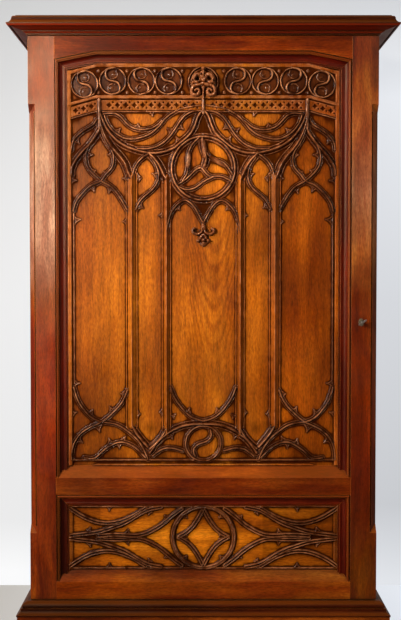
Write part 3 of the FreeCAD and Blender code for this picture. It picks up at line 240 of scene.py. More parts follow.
def wood(name, axis, dark, middle, light, carved=False, rough=(0.32, 0.48), coat=0.0, gloss=0.16,
         patina_and_shade=(0.01, 0.002, 0.0006), grime_and_shade=0.9, wear_and_highlight=0.8, open_from=0.75, lit_below=0.0, crown_highlight_depth=0.0,
         tints=(), arches=None):
    """Waxed wood whose grain runs along an axis; carved wood takes dirt with painted shade, and a painted
    crest highlight, from its mesh.
    """
    g = Surface(name)
    noise = {}
    for label, ((across, along), wander, *rest) in NOISES.items():
        scale = tuple(along if letter == axis else across for letter in "XYZ")
        noise[label] = g.noise(g.stretch(scale, wander), *rest)
    place = g.split(g.coordinates())
    colour = g.ramp(noise["figure"], (0.34, dark), (0.5, middle), (0.66, light))
    for label, share, *stops in TONES:
        colour = g.mix(share, colour, g.ramp(noise[label], *stops), "MULTIPLY")
    for letter, share, start, *stops in tints:
        along = g.maths("MULTIPLY_ADD", place[letter], share, start, clamp=True)
        colour = g.mix(1.0, colour, g.ramp(along, *stops), "MULTIPLY")
    if arches:
        colour = g.mix(1.0, colour, arched_figure(g, *arches), "MULTIPLY")
    g.shade(Specular_IOR_Level=gloss, Specular_Tint=WAX_TINT, Coat_Weight=coat, Coat_Roughness=0.15,
            Roughness=g.ramp(noise["polish"], (0.3, rough[0]), (0.7, rough[1])))
    if carved:
        edge = None
        # The mesh's dirt field darkens the carving towards the patina colour, dirt with painted shade round
        # ribs and in pockets, and lowers its specular there.
        grit_and_shade = g.attribute("dirt")
        colour = g.mix(g.maths("MULTIPLY", grit_and_shade, 0.93, clamp=True), colour, patina_and_shade)
        # Ridge tops get a painted highlight from the mesh's crest field.
        patchy = g.ramp(noise["clouds"], (0.38, 0.15), (0.64, 0.85))
        ridge_highlight = g.maths("MULTIPLY", g.attribute("crest"), patchy, clamp=True)
        colour = g.mix(ridge_highlight, colour, PAINTED_RIDGE_HIGHLIGHT)
        clean_and_unshaded = g.maths("SUBTRACT", 1.0, grit_and_shade, clamp=True)
        g.shade(Specular_IOR_Level=g.maths("MULTIPLY", clean_and_unshaded, gloss))
    else:
        edge = g.rounded(0.0012)
        colour = aged(g, colour, noise["clouds"], place, patina_and_shade, grime_and_shade, wear_and_highlight, open_from, lit_below, crown_highlight_depth)
    pitted = g.bump(noise["pores"], 0.22, 0.0003, edge)
    g.shade(Base_Color=colour, Normal=g.bump(noise["streaks"], 0.1, 0.0006, pitted))
    return g.material


def metal(name, colour, tarnish, rough):
    g = Surface(name)
    clouds = g.noise(g.stretch(), 70, 4.0, 0.6)
    specks = g.noise(g.stretch(), 420, 3.0, 0.6)
    g.shade(Base_Color=g.mix(g.ramp(clouds, (0.35, 0.0), (0.65, 1.0)), tarnish, colour), Metallic=1.0,
            Roughness=g.ramp(clouds, (0.3, rough[1]), (0.7, rough[0])),
            Normal=g.bump(specks, 0.25, 0.0003, g.rounded(0.0005)))
    return g.material


# Each wood's dark, middle and light figure.
FRAME_WOOD = ((0.085, 0.0055, 0.0004), (0.2, 0.025, 0.0012), (0.34, 0.07, 0.004))
DARK_WOOD = ((0.014, 0.0006, 0.0001), (0.032, 0.0025, 0.0002), (0.062, 0.0082, 0.0007))
MOULDING_WOOD = ((0.03, 0.0007, 0.0001), (0.056, 0.0018, 0.0002), (0.09, 0.0048, 0.0004))
FIELD_WOOD = ((0.19, 0.038, 0.0008), (0.28, 0.066, 0.0016), (0.38, 0.102, 0.004))
CARVED_WOOD = ((0.046, 0.008, 0.001), (0.092, 0.018, 0.0024), (0.15, 0.035, 0.0056))
OAK = ((0.19, 0.105, 0.048), (0.3, 0.175, 0.085), (0.38, 0.235, 0.12))
FIELD_ROUGH = (0.36, 0.5)


def toned(colours, share):
    return [tuple(share * part for part in colour) for colour in colours]


def by_height(*stops):
    """Tints up the cabinet, each stop at half its height in metres."""
    return ("Z", 0.5, 0.0, *stops)


def by_width(*stops):
    """Tints across the front, each stop at half a metre more than its distance right of the middle."""
    return ("X", 1.0, 0.5, *stops)


frame_wood = {
    "X": wood("walnut_frame_x", "X", *toned(FRAME_WOOD, 0.85)),
    "Y": wood("walnut_frame_y", "Y", *toned(FRAME_WOOD, 0.8)),
    # The upright frame wood carries a painted sheen near the top, and is darker towards the right.
    "Z": wood("walnut_frame_z", "Z", *toned(FRAME_WOOD, 0.68), gloss=0.28, tints=(
        by_height((0.18, (1.16, 0.74, 0.3)), (0.55, (0.85, 0.82, 0.78)), (0.72, (0.97, 0.96, 0.97)),
                  (0.86, (1.5, 2.6, 5.5))),
        by_width((0.25, WHITE), (0.75, (0.91, 0.74, 0.6)))))}
# The stiles carry a painted sheen, the reflection of a light, between about 1.2 and 1.7 metres up, and
# lighter and darker bands elsewhere along their height.
sheened_stile_wood = {
    label: wood("walnut_" + label, "Z", *toned(FRAME_WOOD, 0.68), gloss=0.28, tints=(by_height(*stops),))
    for label, stops in (
        ("hinge_stile", (
            (0.1, (1.8, 1.9, 1.0)), (0.28, (1.08, 0.55, 0.2)), (0.475, (0.76, 0.38, 0.1)),
            (0.54, (0.8, 0.8, 1.0)), (0.66, (1.6, 4.4, 45.0)), (0.73, (1.6, 4.5, 50.0)),
            (0.79, (1.22, 3.0, 30.0)), (0.86, (0.72, 0.5, 0.5)))),
        ("lock_stile", (
            (0.1, (0.58, 0.65, 0.2)), (0.27, (0.82, 0.5, 0.2)), (0.4, (1.4, 1.25, 0.5)),
            (0.5, (0.76, 0.5, 0.3)), (0.55, (0.85, 0.75, 0.6)), (0.61, (1.7, 2.8, 8.0)),
            (0.72, (1.65, 4.0, 34.0)), (0.8, (1.95, 3.7, 15.0)), (0.86, (1.35, 1.9, 3.0)),
            (0.92, (0.58, 0.35, 0.3)))))}
rail_wood = wood("walnut_rail", "X", *toned(FRAME_WOOD, 0.85))
head_wood = wood("walnut_head", "X", *toned(FRAME_WOOD, 0.72), gloss=0.1)
# The bottom rail is painted lighter towards the left, painted light from that side, and its sill darker,
# painted shade.
foot_wood = wood("walnut_foot", "X", *toned(FRAME_WOOD, 0.85), wear_and_highlight=0.1, tints=(
    by_width((0.16, (1.5, 1.8, 0.9)), (0.3, (1.3, 1.5, 0.8)), (0.44, (0.95, 0.8, 0.7)),
             (0.65, (0.78, 0.78, 0.7)), (0.87, (0.9, 1.05, 1.0))),
    by_height((0.088, WHITE), (0.1, (0.74, 0.85, 1.5)))))
# A dark wood gets painted bounce light on its undersides, and a moulding a painted highlight on its crown,
# this far in front of the middle.
dark_wood = {
    axis: wood("walnut_dark_" + axis.lower(), axis, *DARK_WOOD, grime_and_shade=0.7, wear_and_highlight=0.45, open_from=0.55,
               lit_below=0.5, tints=(by_height((0.9, WHITE), (0.95, (0.72, 0.7, 0.74))),))
    for axis in "XY"}
moulding_wood = {
    axis: wood("walnut_moulding_" + axis.lower(), axis, *MOULDING_WOOD, wear_and_highlight=0.55, open_from=0.5,
               crown_highlight_depth=0.2165, tints=(tint,))
    for axis, tint in (("X", by_height((0.24, (1.9, 3.0, 2.6)), (0.5, WHITE))),
                       ("Z", by_width((0.9, WHITE), (0.98, (1.4, 1.8, 1.0)))))}
field_wood = wood("walnut_field", "Z", *FIELD_WOOD, carved=True, rough=FIELD_ROUGH,
                  patina_and_shade=(0.016, 0.0026, 0.0006), arches=(0.034, 0.94, 48.0, 0.062), tints=(
    by_width((0.082, (1.0, 0.96, 0.9)), (0.095, (0.79, 0.69, 0.65)), (0.26, (0.91, 0.91, 0.94)),
             (0.36, WHITE), (0.7, WHITE), (0.78, (1.0, 0.8, 0.68))),))
# The lower field's wood is a brighter copy: painted light making up for lamp light that falls off low down.
low_field_wood = wood("walnut_low_field", "X", *toned(FIELD_WOOD, 1.7), carved=True, rough=FIELD_ROUGH,
                      patina_and_shade=(0.012, 0.0022, 0.0006), tints=(
    by_width((0.12, (0.88, 0.84, 0.78)), (0.24, (1.2, 1.3, 1.15)), (0.72, (1.04, 1.14, 1.0)),
             (0.9, (0.7, 0.64, 0.54))),))
carved_wood = wood("walnut_carved", "Z", *CARVED_WOOD, carved=True, rough=(0.28, 0.44), coat=0.16, gloss=0.22)
oak_wood = {axis: wood("oak_" + axis.lower(), axis, *OAK, rough=(0.62, 0.78)) for axis in "XZ"}
iron = metal("forged_iron", (0.09, 0.08, 0.075), (0.05, 0.035, 0.028), (0.42, 0.62))
steel = metal("key_steel", (0.55, 0.52, 0.48), (0.24, 0.19, 0.15), (0.25, 0.45))
brass = metal("bush_brass", (0.62, 0.42, 0.18), (0.36, 0.23, 0.1), (0.28, 0.45))
dull_brass = metal("dull_brass", (0.3, 0.24, 0.14), (0.12, 0.09, 0.055), (0.35, 0.6))

# A node takes the first material that has a pattern for its name.
FINISHES = (
    (steel, "key"),
    (sheened_stile_wood["lock_stile"], "lock_stile"),
    (iron, "lock_*", "*_screws", "pivot_plate_*"),
    (brass, "pivot_bushes"),
    (dull_brass, "escutcheon"),
    (oak_wood["Z"], "back_boards", "plinth_blocks"),
    (oak_wood["X"], "bottom_board", "top_board", "plinth_back", "shelf*"),
    (dark_wood["X"], "cornice_front", "base_moulding_front"),
    (dark_wood["Y"], "cornice_*", "base_moulding_*"),
    (moulding_wood["X"], "*_moulding_*head"),
    (moulding_wood["Z"], "*_moulding_*"),
    (sheened_stile_wood["hinge_stile"], "hinge_stile"),
    (head_wood, "door_top_rail"),
    (foot_wood, "door_bottom_rail"),
    (rail_wood, "door_*_rail"),
    (frame_wood["Z"], "*_post", "*_stile", "*_panel"),
    (frame_wood["Y"], "left_*", "right_*", "*_left", "*_right"),
    (frame_wood["X"], "*"),
)
for name in nodes:
    mesh = nodes[name].data
    mesh.materials.clear()
    mesh.materials.append(next(material for material, *patterns in FINISHES
                               if any(fnmatchcase(name, pattern) for pattern in patterns)))


# ---- carving
# In millimetres: x from the middle, heights above the floor. The tables of curves give heights above the
# body's foot, which is at BASE.
BASE = 120.0
PANEL_Y = -197.0
PANEL_BACK = -189.0
CELL = 1.2  # of the carving's grid
EDGE = 429.0  # half the width of a carved field
BORDER = 417.0  # inner edge of its flat border
STRING = 1710.0  # foot of the string course
BAND = 1672.0  # foot of the band of quatrefoils
BAND_BEAD = 1669.5
QUATREFOILS = 1689.5  # their middle line
SUNK = 6.2  # and depth
WHEEL = 41.5  # radius of the frieze's wheels
UPPER_SILL = 547.0
KINK = 338.0  # where the head starts to drop
CANT = 25.0  # and how far it drops
SPACING = 4.0  # of points along a curve
MARGIN = 7.5  # of ground kept round the carving
SLOPE = 1.6  # width of a flat band's edge
WORKED = 1.8  # height from which tool marks show
MARK = 0.38  # their depth
CORNERS = ((0, 0), (0, 1), (1, 1), (1, 0))  # of a cell, in rows and columns

# Cut across a rib: distance from its middle, height above the panel.
MULLION_OUTER = ((0, 13.2), (0.8, 13.1), (1.6, 11.6), (2.6, 9.6), (7.0, 6.0), (12.2, 2.6), (13.4, 0.7),
    (14.6, 0.7), (15.6, 3.6), (16.6, 4.4), (17.6, 3.6), (18.6, 0))
MULLION_INNER = ((0, 13.2), (0.8, 13.1), (1.6, 11.6), (2.6, 9.4), (5.6, 6.0), (8.8, 2.8), (9.8, 0.7),
    (10.8, 0.7), (11.8, 3.6), (12.8, 4.4), (13.8, 3.6), (14.8, 0))
MAIN = ((0, 12.8), (0.8, 12.6), (1.6, 10.4), (2.6, 8.0), (4.4, 5.2), (6.6, 3.0), (7.4, 0.8), (8.2, 0.8),
    (9.2, 3.8), (10.1, 4.4), (11.1, 3.4), (12.2, 0))
SECOND = ((0, 10.4), (0.7, 10.2), (1.5, 7.8), (2.4, 5.2), (3.6, 2.8), (4.4, 0.9), (5.1, 0.9), (5.9, 3.6),
    (6.7, 4.2), (7.5, 3.4), (8.4, 0))
TWIN = ((0, 4.6), (1.6, 5.0), (3.0, 8.4), (4.0, 9.2), (5.0, 8.4), (6.4, 4.4), (7.6, 0))
THIN = ((0, 5.0), (0.9, 4.7), (1.9, 3.2), (2.9, 0))
FINE = ((0, 6.5), (0.9, 6.2), (1.8, 4.2), (2.6, 2.4), (3.6, 0))
LEAF = ((0, 4.6), (0.8, 4.4), (1.6, 3.2), (2.4, 0))
STEM = ((0, 12.6), (3.5, 11.6), (5.5, 6), (7, 0))
TOP_STEM = ((0, 12.6), (3.0, 11.6), (5.0, 6), (6.5, 0))
LINE = ((0, 8.8), (0.8, 8.5), (1.7, 5.6), (2.5, 1.5), (3.0, 0))
FAINT = ((0, 3.9), (0.9, 3.7), (1.8, 2.7), (2.6, 0))
SCROLL = ((0, 9.6), (1.2, 9.3), (2.4, 6.8), (3.6, 2.4), (4.4, 0))
# Cut across a rolled curl: share of its half width, share of its height.
ROLL = ((0, 1), (0.25, 0.98), (0.5, 0.9), (0.75, 0.74), (0.92, 0.5), (1, 0))


def smooth(points):
    """Points along a natural cubic through the given ones."""
    points = np.array(points, float)
    if len(points) == 2:
        count = max(2, int(np.linalg.norm(points[1] - points[0]) / (6 * SPACING)))
        return points[0] + (points[1] - points[0]) * np.linspace(0, 1, count)[:, None]
    chord = np.concatenate([[0], np.cumsum(np.linalg.norm(np.diff(points, axis=0), axis=1))])
    count = len(points)
    gaps = np.diff(chord)
    system = np.eye(count)
    sides = np.zeros((count, 2))
    for i in range(1, count - 1):
        system[i, i - 1:i + 2] = gaps[i - 1], 2 * (gaps[i - 1] + gaps[i]), gaps[i]
        sides[i] = 6 * ((points[i + 1] - points[i]) / gaps[i] - (points[i] - points[i - 1]) / gaps[i - 1])
    bend = np.linalg.solve(system, sides)
    at = np.linspace(0, chord[-1], max(6, int(chord[-1] / SPACING)))
    span = np.clip(np.searchsorted(chord, at, side="right") - 1, 0, count - 2)
    gap = gaps[span][:, None]
    a = (chord[span + 1] - at)[:, None] / gap
    b = 1 - a
    return (a * points[span] + b * points[span + 1]
            + ((a ** 3 - a) * bend[span] + (b ** 3 - b) * bend[span + 1]) * gap ** 2 / 6)


def unit(values):
    return np.clip(values, 0, 1)


def all_corners(field):
    """Cells of a grid whose four corners all hold."""
    return field[:-1, :-1] & field[1:, :-1] & field[:-1, 1:] & field[1:, 1:]


class Relief:
    """A height map over the panel: x across, z up, heights towards the viewer."""

    def __init__(self, x, z, step):
        self.step = step
        self.xs = np.arange(x[0], x[1] + step / 2, step)
        self.zs = np.arange(z[0], z[1] + step / 2, step)
        self.h = np.zeros((len(self.zs), len(self.xs)))
        self.flat = np.zeros(self.h.shape, bool)
        self.dusk = np.zeros(self.h.shape)

    def window(self, low, high):
        """Rows and columns from one corner to another."""
        cells = []
        for way, places in ((1, self.zs), (0, self.xs)):
            first = max(0, int((low[way] - places[0]) / self.step))
            last = min(len(places), int((high[way] - places[0]) / self.step) + 2)
            cells.append(slice(first, max(first, last)))
        return tuple(cells)

    def spots(self, rows, columns):
        return self.xs[None, columns], self.zs[rows, None]

    def lay(self, height, rows=slice(None), columns=slice(None), plain=False):
        """The higher surface wins; what is laid counts as flat only where it is plain."""
        there, flat = self.h[rows, columns], self.flat[rows, columns]
        if plain:
            flat |= height > there
        else:
            flat &= height < there
        np.maximum(there, height, out=there)

    def rib(self, points, profile, plain=False):
        """A rib of some profile along a curve; the darkening by dirt and painted shade treats a plain one as
        a flat band.
        """
        line = smooth(points)
        profile = np.array(profile)
        reach = profile[-1, 0]
        rows, columns = self.window(line.min(0) - reach, line.max(0) + reach)
        far = np.full((rows.stop - rows.start, columns.stop - columns.start), 1e6)
        for start, end in zip(line, line[1:]):
            r, c = self.window(np.minimum(start, end) - reach, np.maximum(start, end) + reach)
            x, z = self.spots(r, c)
            along = end - start
            share = unit(((x - start[0]) * along[0] + (z - start[1]) * along[1]) / (along @ along))
            away = np.hypot(x - start[0] - share * along[0], z - start[1] - share * along[1])
            part = far[r.start - rows.start:r.stop - rows.start,
                       c.start - columns.start:c.stop - columns.start]
            np.minimum(part, away, out=part)
        height = np.interp(far, profile[:, 0], profile[:, 1], right=-1.0)
        self.lay(np.where(height > 0, height, 0), rows, columns, plain)

    def ring(self, centre, radius, profile):
        turns = np.linspace(0, 2 * math.pi, max(24, int(radius * 1.6)) + 1)
        line = [(centre[0] + radius * math.cos(t), centre[1] + radius * math.sin(t)) for t in turns]
        for start, end in zip(line, line[1:]):
            self.rib([start, end], profile)

    def cusp(self, tip, away, long, wide):
        """A small pointed leaf, edged by a roll; its tip is at tip and its foot lies back along away."""
        away = np.array(away, float)
        away /= np.linalg.norm(away)
        across = np.array([-away[1], away[0]])
        foot = np.array(tip, float)
        for _ in range(26):
            if self.h[self.window(foot, foot)].max(initial=0) > 3:
                break
            foot -= away
        long = float(np.clip(np.linalg.norm(foot - tip), 8, long + 4))
        tip = foot + away * long
        for side in (-1, 1):
            self.rib([foot + side * across * wide, foot + side * across * 0.42 * wide + away * 0.34 * long,
                      foot + side * across * 0.2 * wide + away * 0.62 * long, tip], LEAF)
        self.dome(tip, (2.8, 2.8), 5.4)
        self.dome(foot + away * 0.16 * long, (0.4 * long, 0.55 * wide), 2.6,
                  math.degrees(math.atan2(away[1], away[0])))

    def oval(self, centre, radii, turn):
        """The cells round a turned oval, and their places along its two half axes."""
        reach = max(radii) + 1
        rows, columns = self.window(np.array(centre) - reach, np.array(centre) + reach)
        x, z = self.spots(rows, columns)
        angle = math.radians(turn)
        u = ((x - centre[0]) * math.cos(angle) + (z - centre[1]) * math.sin(angle)) / radii[0]
        v = (-(x - centre[0]) * math.sin(angle) + (z - centre[1]) * math.cos(angle)) / radii[1]
        return rows, columns, u, v

    def dome(self, centre, radii, top, turn=0.0, power=0.5):
        """A rounded knob or leaf, blended by the higher surface."""
        rows, columns, u, v = self.oval(centre, radii, turn)
        height = top * unit(1 - u * u - v * v) ** power
        self.lay(np.where(u * u + v * v < 1, height, 0), rows, columns)

    def pit(self, centre, radii, deep, turn=0.0):
        """A steep hollow that stops short of the panel."""
        rows, columns, u, v = self.oval(centre, radii, turn)
        down = deep * unit(1.6 * (1 - u * u - v * v))
        self.h[rows, columns] = np.maximum(self.h[rows, columns] - down, 0.3)

    def slab(self, shape, top):
        """A flat band: shape(x, z) is positive inside it, in mm from its edge."""
        depth = shape(self.xs[None, :], self.zs[:, None])
        self.lay(unit((depth + SLOPE / 2) / SLOPE) * top, plain=True)

    def bands(self):
        """The flat tops that stand above the panel."""
        return self.flat & (self.h > 3)


def blur(field, cells):
    """A Gaussian blur whose spread is given in cells."""
    radius = max(1, int(3 * cells))
    kernel = np.exp(-0.5 * (np.arange(-radius, radius + 1) / cells) ** 2)
    kernel /= kernel.sum()
    padded = np.pad(field, radius, mode="edge")
    padded = np.apply_along_axis(lambda line: np.convolve(line, kernel, "valid"), 1, padded)
    return np.apply_along_axis(lambda line: np.convolve(line, kernel, "valid"), 0, padded)


CHISEL = np.random.default_rng(3152)


def tool_marks(shape, cells):
    """Uneven marks of hand work, even in strength over the whole surface."""
    field = blur(CHISEL.standard_normal(shape), cells)
    return field / field.std()


def finish_relief(relief, crowd_from, bright):
    """Softens the surface a little, cuts tool marks, and works out where it is darkened by dirt and painted
    shade and where its crests get a painted highlight.
    """
    step = relief.step
    relief.h = np.where(relief.h > 0, blur(relief.h, 0.55 / step), relief.h)
    worked = (relief.h > WORKED) & ~relief.flat
    marks = MARK * np.clip(tool_marks(relief.h.shape, 2.0 / step), -2, 2)
    relief.h = np.where(worked, relief.h + marks, relief.h)
    uneven = tool_marks(relief.h.shape, 5.0 / step)
    solid = (relief.h > 0.5).astype(float)
    # Painted shade, with dirt: dark outlines round the ribs, darker creases and hollows, and dark crowded
    # ground between ribs.
    outline = blur(solid, 3.0 / step) * (1 - solid) * 2.1
    crowded = unit((blur(solid, 9.0 / step) - crowd_from) * 3.0) * (1 - 0.75 * solid)
    near, wide = blur(relief.h, 2.6 / step), blur(relief.h, 9.0 / step)
    crevice = unit((near - relief.h) / 1.6) * solid
    hollow = 0.7 * unit((wide - relief.h) / 5.0) * (1 - 0.8 * solid)
    board = 1 - 0.5 * relief.bands()
    darkening_sum = board * (outline + crevice + hollow + crowded) * (1 + 0.22 * uneven)
    relief.dirt = unit(darkening_sum + relief.dusk)
    # Crests of the ribs get a painted highlight.
    relief.crest = bright * unit((relief.h - near) / 1.7) * unit((relief.h - 1.2) / 5)
    relief.crest *= (1 - 0.35 * relief.flat) * np.clip(0.9 - 0.45 * uneven, 0, 1.6)


def new_piece(name, mesh, painted):
    """Paints a mesh with its fields of dirt and painted shade and of painted crest highlight, and hangs it on
    the door.
    """
    for label, values in painted.items():
        layer = mesh.attributes.new(label, "FLOAT", "POINT")
        layer.data.foreach_set("value", values.astype(np.float32))
    mesh.update()
    mesh.validate()
    piece = linked(name, mesh)
    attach(piece, "door")
    return piece


def grid_piece(name, relief, keep, part, ground):
    """A piece of the cells in part; the rim of the whole of keep is tucked behind the panel."""
    whole = np.zeros((keep.shape[0] + 1, keep.shape[1] + 1), bool)
    whole[1:-1, 1:-1] = all_corners(keep)
    rows, columns = np.nonzero(part)
    used = np.zeros(whole.shape, bool)
    for di, dj in CORNERS:
        used[rows + di, columns + dj] = True
    index = np.full(used.shape, -1)
    index[used] = np.arange(used.sum())
    height = np.where(used & ~whole, -0.4, np.maximum(relief.h, 0.12))
    i, j = np.nonzero(used)
    points = np.empty((len(i), 3))
    points[:, 0] = relief.xs[j] * MM
    points[:, 1] = (PANEL_Y - height[i, j]) * MM
    points[:, 2] = relief.zs[i] * MM
    faces = np.stack([index[rows + di, columns + dj] for di, dj in CORNERS], axis=1)
    plain = all_corners((relief.h < 0.15) | relief.flat)[rows, columns]
    mesh = bpy.data.meshes.new(name)
    mesh.vertices.add(len(points))
    mesh.vertices.foreach_set("co", points.ravel())
    mesh.loops.add(faces.size)
    mesh.loops.foreach_set("vertex_index", faces.ravel())
    mesh.polygons.add(len(faces))
    mesh.polygons.foreach_set("loop_start", np.arange(0, faces.size, 4))
    mesh.materials.append(carved_wood)
    mesh.materials.append(ground)
    mesh.polygons.foreach_set("material_index", plain.astype(np.int32))
    mesh.polygons.foreach_set("use_smooth", np.ones(len(faces), bool))
    return new_piece(name, mesh, {"dirt": relief.dirt[i, j], "crest": relief.crest[i, j]})


def spread(field, cells):
    """Grows what is true sideways by so many columns."""
    grown = field.copy()
    for shift in range(1, cells + 1):
        grown[:, shift:] |= field[:, :-shift]
        grown[:, :-shift] |= field[:, shift:]
    return grown


def near_cells(relief):
    """Cells that carry carving, and a margin round them."""
    cells = int(round(MARGIN / relief.step))
    return all_corners(spread(spread(relief.h > 0.05, cells).T, cells).T)


def raised(points):
    return [(x, z + BASE) for x, z in points]


def pair(relief, points, profile, plain=False):
    """A rib and its mirror image."""
    for side in (-1, 1):
        relief.rib([(side * x, z) for x, z in points], profile, plain)


def level(x):
    """How far a canted line has dropped at x."""
    return CANT * unit((np.abs(x) - KINK) / (EDGE - KINK))


def head_z(x):
    """Upper edge of the carved field."""
    return 1819.0 - 22.6 * unit((np.abs(x) - KINK + 8) / (EDGE - KINK))


def border(x, z):
    """Positive inside the flat borders down both sides."""
    return np.minimum(np.abs(x) - BORDER, EDGE - np.abs(x))


def strip(low, high, side):
    """Positive inside a band between two heights, both following the cant."""
    return lambda x, z: np.minimum(np.minimum(z + level(x) - low, high - z - level(x)), side - np.abs(x))


def quatrefoil(x, size):
    """A sunk pointed flower of four leaves in the band, with small nicks above and below."""
    z = QUATREFOILS - float(level(x))
    for turn, long, wide in ((0, 1, 0.36), (90, 1, 0.36), (45, 0.72, 0.34), (135, 0.72, 0.34)):
        UPPER.pit((x, z), (long * size, wide * size), SUNK, turn)
    for side in (-1, 1):
        UPPER.pit((x + 1.22 * size, z + side * 0.92 * size), (0.3 * size, 0.34 * size), 0.8 * SUNK)


def wheel(x, z, mirror):
    """A ringed wheel parted by an S into two comma-shaped leaves, each with a boss in its head."""
    def place(points):
        return [(x + mirror * a * WHEEL, z + b * WHEEL) for a, b in points]

    UPPER.dome((x, z), (WHEEL, WHEEL), 1.75, power=0.1)
    for side in (-1, 1):
        boss = (x + side * mirror * 3, z + side * 0.5 * WHEEL)
        UPPER.dome(boss, (9.0, 5.5), 2.8, -20 * side * mirror, power=0.7)
        head = [(0.28, 0.78), (0.36, 0.55), (0.28, 0.32), (0.06, 0.2), (-0.18, 0.24)]
        UPPER.rib(place([(side * a, side * b) for a, b in head]), FAINT)
    UPPER.ring((x, z), WHEEL, LINE)
    half = [(0.02, 1.0), (-0.26, 0.93), (-0.5, 0.74), (-0.54, 0.46), (-0.4, 0.16)]
    UPPER.rib(place([*half, (0, 0), *((-a, -b) for a, b in half[::-1])]), SCROLL)


UPPER = Relief((-430.2, 430.2), (545.5, 1820.5), CELL)
LOWER = Relief((-430.2, 430.2), (212.5, 420.5), CELL)

# Border, head band, string course, quatrefoil band and foot of the upper field.
UPPER.slab(border, 7.2)
for low, high, side, top in ((1808.5, 1819.5, EDGE, 7.2), (STRING, 1720.0, EDGE, 9.4),
                             (BAND + 1, 1705.5, BORDER, 6.4), (UPPER_SILL, 552.0, EDGE, 5.0)):
    UPPER.slab(strip(low, high, side), top)
UPPER.rib([(-BORDER, 565.0), (BORDER, 565.0)], FINE)
pair(UPPER, [(0, BAND_BEAD), (KINK, BAND_BEAD)], FINE)
pair(UPPER, [(KINK, BAND_BEAD), (BORDER, BAND_BEAD - 21.7)], FINE)
for side in (-1, 1):
    for count in range(1, 12):
        quatrefoil(side * (26.6 * count + 4), 9.6)
    for count in range(3):
        quatrefoil(side * (352 + 25 * count), 9.0)

# One half of the tracery, by the profile of its ribs.
MAIN_CURVES = (
    [(326, 1545), (308, 1503), (254, 1446), (206, 1427), (166, 1419), (114, 1426), (90, 1436)],
    [(0, 1554), (12, 1542), (24, 1513), (41, 1480), (72, 1451), (90, 1436)],
    [(327, 1507), (329, 1490), (341, 1471), (360, 1445), (383, 1421), (402, 1397), (414, 1374),
     (417, 1350)],
    [(227, 556), (214, 533), (177, 488)],
    [(117, 548), (124, 533), (169, 482)],
    [(170, 469), (145, 503), (118, 527), (84, 547), (40, 559), (2, 560)],
)
SECOND_CURVES = (
    [(8, 1569), (37, 1565), (72, 1557), (97, 1545), (123, 1524), (142, 1501), (166, 1480), (200, 1467),
     (235, 1463), (270, 1477), (291, 1496), (304, 1517), (311, 1536)],
    [(5, 1552), (37, 1548), (58, 1536), (73, 1519), (87, 1497), (101, 1477), (121, 1456), (149, 1439),
     (174, 1433), (208, 1433)],
    [(315, 1541), (276, 1542), (260, 1533), (246, 1517), (230, 1503), (206, 1494), (183, 1493), (159, 1499),
     (131, 1520)],
    [(336, 1526), (344, 1512), (363, 1498), (386, 1483), (403, 1467), (413, 1450), (415, 1429)],
    [(326, 1501), (355, 1451), (368, 1423), (370, 1397), (362, 1372), (344, 1350), (323, 1332), (290, 1312),
     (263, 1279), (241, 1241)],
    [(326, 1501), (302, 1445), (285, 1417), (283, 1394), (289, 1373), (309, 1350), (323, 1332), (347, 1321),
     (378, 1296), (399, 1270), (411, 1237)],
    [(225, 1341), (218, 1369), (201, 1396), (171, 1419)],
    [(165, 1405), (146, 1374), (141, 1347), (148, 1321), (170, 1296), (197, 1272), (214, 1241)],
    [(117, 1150), (114, 1185), (108, 1212), (96, 1240), (78, 1260), (58, 1270), (40, 1262), (20, 1236),
     (2, 1202)],
    [(412, 677), (398, 635), (373, 598), (342, 573), (323, 567), (278, 559), (239, 536), (211, 511),
     (186, 471), (176, 446)],
    [(241, 668), (261, 626), (289, 595), (323, 567), (365, 547), (399, 519), (415, 488), (420, 446)],
    [(379, 452), (345, 452), (323, 471), (295, 491), (267, 502), (239, 497), (211, 480), (184, 452)],
    [(104, 677), (93, 649), (71, 615), (34, 581), (2, 570)],
    [(161, 458), (129, 480), (102, 483), (67, 474)],
)
INNER_CURVES = (
    [(326, 1522), (318, 1493), (305, 1464), (286, 1435), (267, 1413), (246, 1384), (238, 1362),
     (229, 1341)],
    [(117, 1335), (128, 1358), (143, 1387), (171, 1419)],
)
for profile, curves in ((MAIN, MAIN_CURVES), (SECOND, SECOND_CURVES), (MULLION_INNER, INNER_CURVES)):
    for points in curves:
        pair(UPPER, raised(points), profile)
pair(UPPER, raised([(227, 555), (227, 1348)]), MULLION_OUTER, True)
pair(UPPER, raised([(117, 527), (117, 1345)]), MULLION_INNER, True)
pair(UPPER, raised([(410, 690), (410, 1230)]), THIN)
pair(UPPER, raised([(327, 1500), (328, 1586)]), STEM)
UPPER.rib(raised([(0, 1545), (0, 1600)]), TOP_STEM)

# The ring under the head with its curling leaves, and the small wheel at the foot.
UPPER.ring((0.0, 1371.0 + BASE), 100, MAIN)
for profile, line in (
        (MAIN, [(-3, 1471), (-1, 1434), (9, 1404), (5, 1382)]),
        (SECOND, [(-14, 1468), (-32, 1450), (-46, 1422), (-49, 1392), (-50, 1360), (-66, 1332)]),
        (SECOND, [(8, 1424), (28, 1402), (56, 1393), (78, 1374), (92, 1352)]),
        (SECOND, [(-83, 1319), (-50, 1341), (-24, 1366), (-12, 1373), (16, 1349), (51, 1346), (87, 1331)]),
        (SECOND, [(-83, 1316), (-52, 1304), (-24, 1311), (1, 1329), (31, 1344)])):
    UPPER.rib(raised(line), profile)
for centre, radii, top, turn in (((3, 1432), (36, 9), 13.4, 97), ((-47, 1398), (34, 8), 11.5, 86),
                                 ((44, 1394), (36, 8), 11.0, -32)):
    UPPER.dome((centre[0], centre[1] + BASE), radii, top, turn)
UPPER.ring((0.0, 498.0 + BASE), 56, SECOND)
UPPER.rib(raised([(23, 541), (25, 521), (9, 504), (-18, 494), (-31, 476), (-26, 458)]), SECOND)

